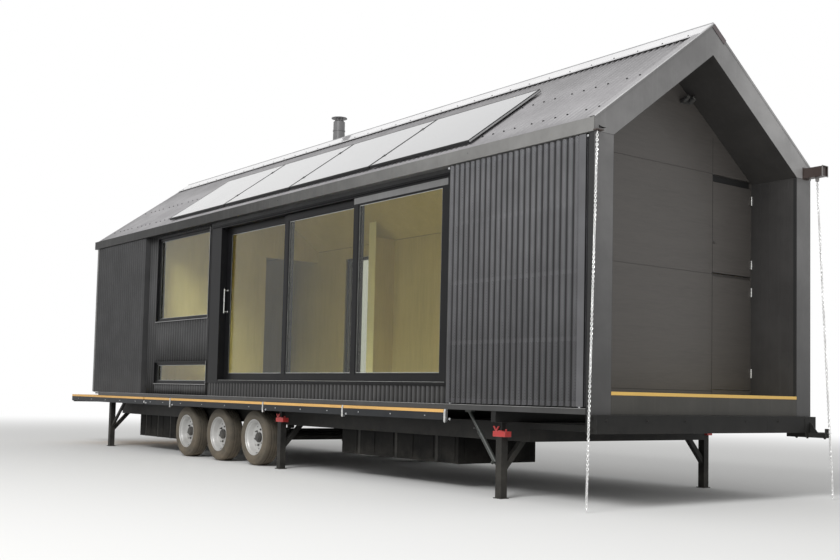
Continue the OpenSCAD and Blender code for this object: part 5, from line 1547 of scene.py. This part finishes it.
class HOUSE_OT_skirts(bpy.types.Operator):
    """Fixings of the skirts, the ledge and the platform boards"""
    bl_idname = "house.skirts"
    bl_label = "Skirts and deck"

    def execute(self, context):
        bright, small, ledge_highlights = Solid(), Solid(), Solid()
        low = CHASSIS - 0.002 - 0.03 - 0.072
        for far in (False, True):
            out = NORTH if far else -NORTH

            def face(s, y, z):
                return at(s, flip(y, far), z)
            for s in (1.88, 3.645, 5.38, 7.99):
                for dx in (-0.0085, 0.0085):
                    bright.box(face(s + dx - 0.0045, -0.0285, low - 0.012),
                               face(s + dx + 0.0045, -0.0252, CHASSIS - 0.022))
                bright.screw(face(s, -0.0252, low - 0.014), out, size=0.0065)
                small.screw(face(s - 0.075, -0.0252, low + 0.012), out, size=0.0075)
            bright.lathe(face(8.88, -0.006, low + 0.034), out,
                         [(0, 0.021), (0.012, 0.021), (0.018, 0.015), (0.02, 0.0)], sides=20)
            small.screw(face(8.8, -0.0252, low + 0.02), out, size=0.008)
            for start, stop in ((1.9, 3.625), (3.665, 5.36), (5.4, 7.97), (8.01, 8.86), (8.9, 11.8)):
                count = max(2, round((stop - start) / 0.62))
                for k in range(count):
                    s = start + (stop - start) * (k + 0.5) / count
                    small.screw(face(s, -0.0252, low + 0.036), out, size=0.0045)
            # Pale lips along the ledge's top edge, painted as a highlight
            ledge_highlights.box(face(0.061, -0.0085, CLAD_LOW - 0.0028), face(LENGTH - 0.27, -0.006, CLAD_LOW + 0.001))
            ledge_highlights.box(face(0.061, -0.0085, CLAD_LOW - 0.0005), face(LENGTH - 0.27, 0.006, CLAD_LOW + 0.001))
        bright.make("skirt_bolts", "Bright zinc", "galvanised")
        small.make("skirt_screws", "Galvanised steel", "galvanised")
        ledge_highlights.make("ledge_lip", "Ledge lip", "ledge_metal", bevel=0.0006)
        stub = Solid()
        stub.box(at(10.67, -0.012, CHASSIS + 0.024), at(10.82, 0.012, CHASSIS + 0.044))
        stub.make("ledge_end_stub", "Black rubber seal", "tank_plastic", bevel=0.002)
        heads = Solid()
        for i in range(10):
            y = 0.152 + i * 0.3106
            for s in (LENGTH + 0.05, LENGTH + 0.4, LENGTH + 0.79):
                for dy in (-0.09, 0.09):
                    heads.screw(at(s, y + dy, CHASSIS - 0.0025), UP, size=0.0038)
        heads.make("deck_screws", "Galvanised steel", "deck_timber")
        return {"FINISHED"}


class HOUSE_OT_interior(bpy.types.Operator):
    """Ply lining of the walls and ceiling"""
    bl_idname = "house.interior"
    bl_label = "Interior lining"

    def execute(self, context):
        start, stop = 0.632, LENGTH - 0.132
        back = Solid()
        y0, y1 = WIDTH - 0.1355, WIDTH - 0.1305
        top = roof_under(WIDTH - 0.13) - 0.012
        (x0, x1), (z0, z1) = BACK_WINDOW
        for a, b, low, high in ((1.084, x0, DECK, top), (x1, stop, DECK, top), (x0, x1, DECK, z0),
                                (x0, x1, z1, top)):
            back.box(at(a, y0, low + 0.001), at(b, y1, high))
        for a in (2.3, 3.52, 4.74, 5.96, 9.6):
            back.box(at(a, y0 - 0.001, DECK + 0.001), at(a + 0.004, y0 + 0.001, top))
        near = Solid()
        y0, y1 = 0.2105, 0.2155
        near.box(at(start, y0, DECK + 0.001), at(1.998, y1, top))
        (x0, x1), (upper, lower) = KITCHEN, KITCHEN_SILLS
        for a, b, low, high in ((7.102, x0, DECK, top), (x1, stop, DECK, top), (x0, x1, lower[1], upper[0]),
                                (x0, x1, upper[1], top)):
            near.box(at(a, y0, low + 0.001), at(b, y1, high))
        near.box(at(2.0, y0, CHASSIS + 2.312), at(7.102, y1, top))
        ends = Solid()
        for a in (start, stop - 0.005):
            outline = [(0.216, DECK + 0.001), (WIDTH - 0.136, DECK + 0.001), (WIDTH - 0.136, top),
                       (WIDTH / 2, roof_under(WIDTH / 2) - 0.012), (0.216, roof_under(0.216) - 0.012)]
            if a == start:
                outline[1:3] = [(2.215, DECK + 0.001), (2.215, roof_under(2.215) - 0.012)]
            ends.loft([[at(a, y, z) for y, z in outline], [at(a + 0.005, y, z) for y, z in outline]])
        ceiling = Solid()
        for far in (False, True):
            eave = 0.136 if far else 0.216
            outline = [(eave, roof_under(eave) - 0.003), (WIDTH / 2, roof_under(WIDTH / 2) - 0.003),
                       (WIDTH / 2, roof_under(WIDTH / 2) - 0.012), (eave, roof_under(eave) - 0.012)]
            if far:
                outline = [(WIDTH - y if y < 1 else y, z) for y, z in outline]
            ceiling.loft([[at(a, y, z) for y, z in outline] for a in (start, stop)])
            for k in range(8):
                s = 1.4 + k * 1.2
                seam = [(y, z - 0.0015 if i > 1 else z - 0.006) for i, (y, z) in enumerate(outline)]
                ceiling.loft([[at(a, y, z) for y, z in seam] for a in (s, s + 0.02)])
        for name, piece in (("back", back), ("near", near), ("end", ends), ("ceiling", ceiling)):
            piece.make(f"{name}_lining", "Interior ply", "interior_ply")
        stub = Solid()
        stub.box(at(6.858, 2.6165, DECK + 0.001), at(7.032, 2.6195, roof_under(2.62) - 0.02))
        stub.make("stub_wall_edge", "Pale ply edge", "interior_ply")
        self.reveals()
        return {"FINISHED"}

    def reveals(self):
        """Ply linings round the windows"""
        boards = Solid()
        (x0, x1), (z0, z1) = BACK_WINDOW
        frame_ring(boards, at, x0, x1, z0, z1, 0.02, WIDTH - 0.15, WIDTH - 0.106, grow=0.02)
        frame_ring(boards, at, *KITCHEN, *KITCHEN_SILLS[0], 0.02, 0.166, 0.225, grow=0.02)
        boards.make("window_reveals", "Interior ply", "interior_ply", bevel=0.001)


class HOUSE_OT_stage(bpy.types.Operator):
    """Floor, light and camera"""
    bl_idname = "house.stage"
    bl_label = "Studio"

    def execute(self, context):
        scene = context.scene
        scene.view_settings.view_transform = "Standard"
        self.floor()
        self.world(scene)
        self.lamp("Key", (9, -14, 13), (-1, 0, 2), 7.0, 2000.0)
        self.camera(scene)
        return {"FINISHED"}

    def floor(self):
        mesh = bpy.data.meshes.new("studio_floor")
        reach = 160
        mesh.from_pydata([(-reach, -reach, 0), (reach, -reach, 0), (reach, reach, 0), (-reach, reach, 0)], [],
                         [(0, 1, 2, 3)])
        floor = bpy.data.objects.new("studio_floor", mesh)
        bpy.context.scene.collection.objects.link(floor)
        material, tree, shader, output = start_material("Studio floor")
        feed(tree, shader, Base_Color=(0.82, 0.82, 0.81, 1), Roughness=0.9, Specular_IOR_Level=0.0)
        away = add_node(tree, "VectorMath", {"operation": "LENGTH"}, in0=position(tree)).outputs["Value"]
        glow = add_node(tree, "Emission", Color=(1, 1, 1, 1), Strength=1.0).outputs["Emission"]
        both = add_node(tree, "MixShader", in0=rescale(tree, away, 8.0, 22.0, soft=True),
                        in1=shader.outputs["BSDF"], in2=glow)
        tree.links.new(both.outputs["Shader"], output.inputs["Surface"])
        mesh.materials.append(material)

    def world(self, scene):
        world = bpy.data.worlds.new("Studio")
        scene.world = world
        world.use_nodes = True
        tree = world.node_tree
        tree.nodes.clear()
        path = add_node(tree, "LightPath").outputs
        seen = calc(tree, "MAXIMUM", path["Is Camera Ray"], path["Is Glossy Ray"])
        seen = calc(tree, "MAXIMUM", seen, path["Is Transmission Ray"])
        light = add_node(tree, "Background", Color=(1, 1, 1, 1), Strength=mix_value(tree, seen, 0.62, 1.0))
        output = tree.nodes.new("ShaderNodeOutputWorld")
        tree.links.new(light.outputs["Background"], output.inputs["Surface"])

    def lamp(self, name, place, target, size, power):
        light = bpy.data.lights.new(name, "AREA")
        light.size = size
        light.energy = power
        lamp = bpy.data.objects.new(name, light)
        bpy.context.scene.collection.objects.link(lamp)
        lamp.location = place
        lamp.rotation_euler = (Vector(target) - Vector(place)).to_track_quat("-Z", "Y").to_euler()

    def camera(self, scene):
        data = bpy.data.cameras.new("Camera")
        camera = bpy.data.objects.new("Camera", data)
        scene.collection.objects.link(camera)
        data.lens = 47.06
        data.sensor_width = 36.0
        data.shift_y = 0.0516
        data.clip_end = 500
        pitch = math.radians(3.63)
        roll = math.radians(1.291)
        heading = math.radians(52.595)
        camera.location = at(-6.293, -6.595, CHASSIS + 0.147)
        turn = Matrix.Rotation(heading, 4, "Z") @ Matrix.Rotation(math.pi / 2 + pitch, 4, "X") \
            @ Matrix.Rotation(roll, 4, "Z")
        camera.rotation_euler = turn.to_euler()
        scene.camera = camera


PIECES = [HOUSE_OT_frame, HOUSE_OT_cladding, HOUSE_OT_roof, HOUSE_OT_rainwater, HOUSE_OT_solar,
          HOUSE_OT_joinery, HOUSE_OT_screen, HOUSE_OT_porch, HOUSE_OT_wheels, HOUSE_OT_chassis,
          HOUSE_OT_skirts, HOUSE_OT_interior, HOUSE_OT_stage]


class HOUSE_PT_panel(bpy.types.Panel):
    """Lists the house's pieces and sizes"""
    bl_label = "Tiny house"
    bl_idname = "HOUSE_PT_panel"
    bl_space_type = "VIEW_3D"
    bl_region_type = "UI"
    bl_category = "House"

    def draw(self, context):
        for piece in PIECES:
            self.layout.operator(piece.bl_idname)
        for group in (context.scene.house_sizes, context.scene.house_colours):
            for name in group.__annotations__:
                self.layout.prop(group, name)


CLASSES = [HouseSizes, HouseColours, *PIECES, HOUSE_PT_panel]


def register():
    for item in CLASSES:
        bpy.utils.register_class(item)
    bpy.types.Scene.house_sizes = PointerProperty(type=HouseSizes)
    bpy.types.Scene.house_colours = PointerProperty(type=HouseColours)


def unregister():
    del bpy.types.Scene.house_sizes
    del bpy.types.Scene.house_colours
    for item in reversed(CLASSES):
        bpy.utils.unregister_class(item)


def main():
    register()
    for piece in PIECES:
        group, name = piece.bl_idname.split(".")
        getattr(getattr(bpy.ops, group), name)()


if __name__ == "__main__":
    main()
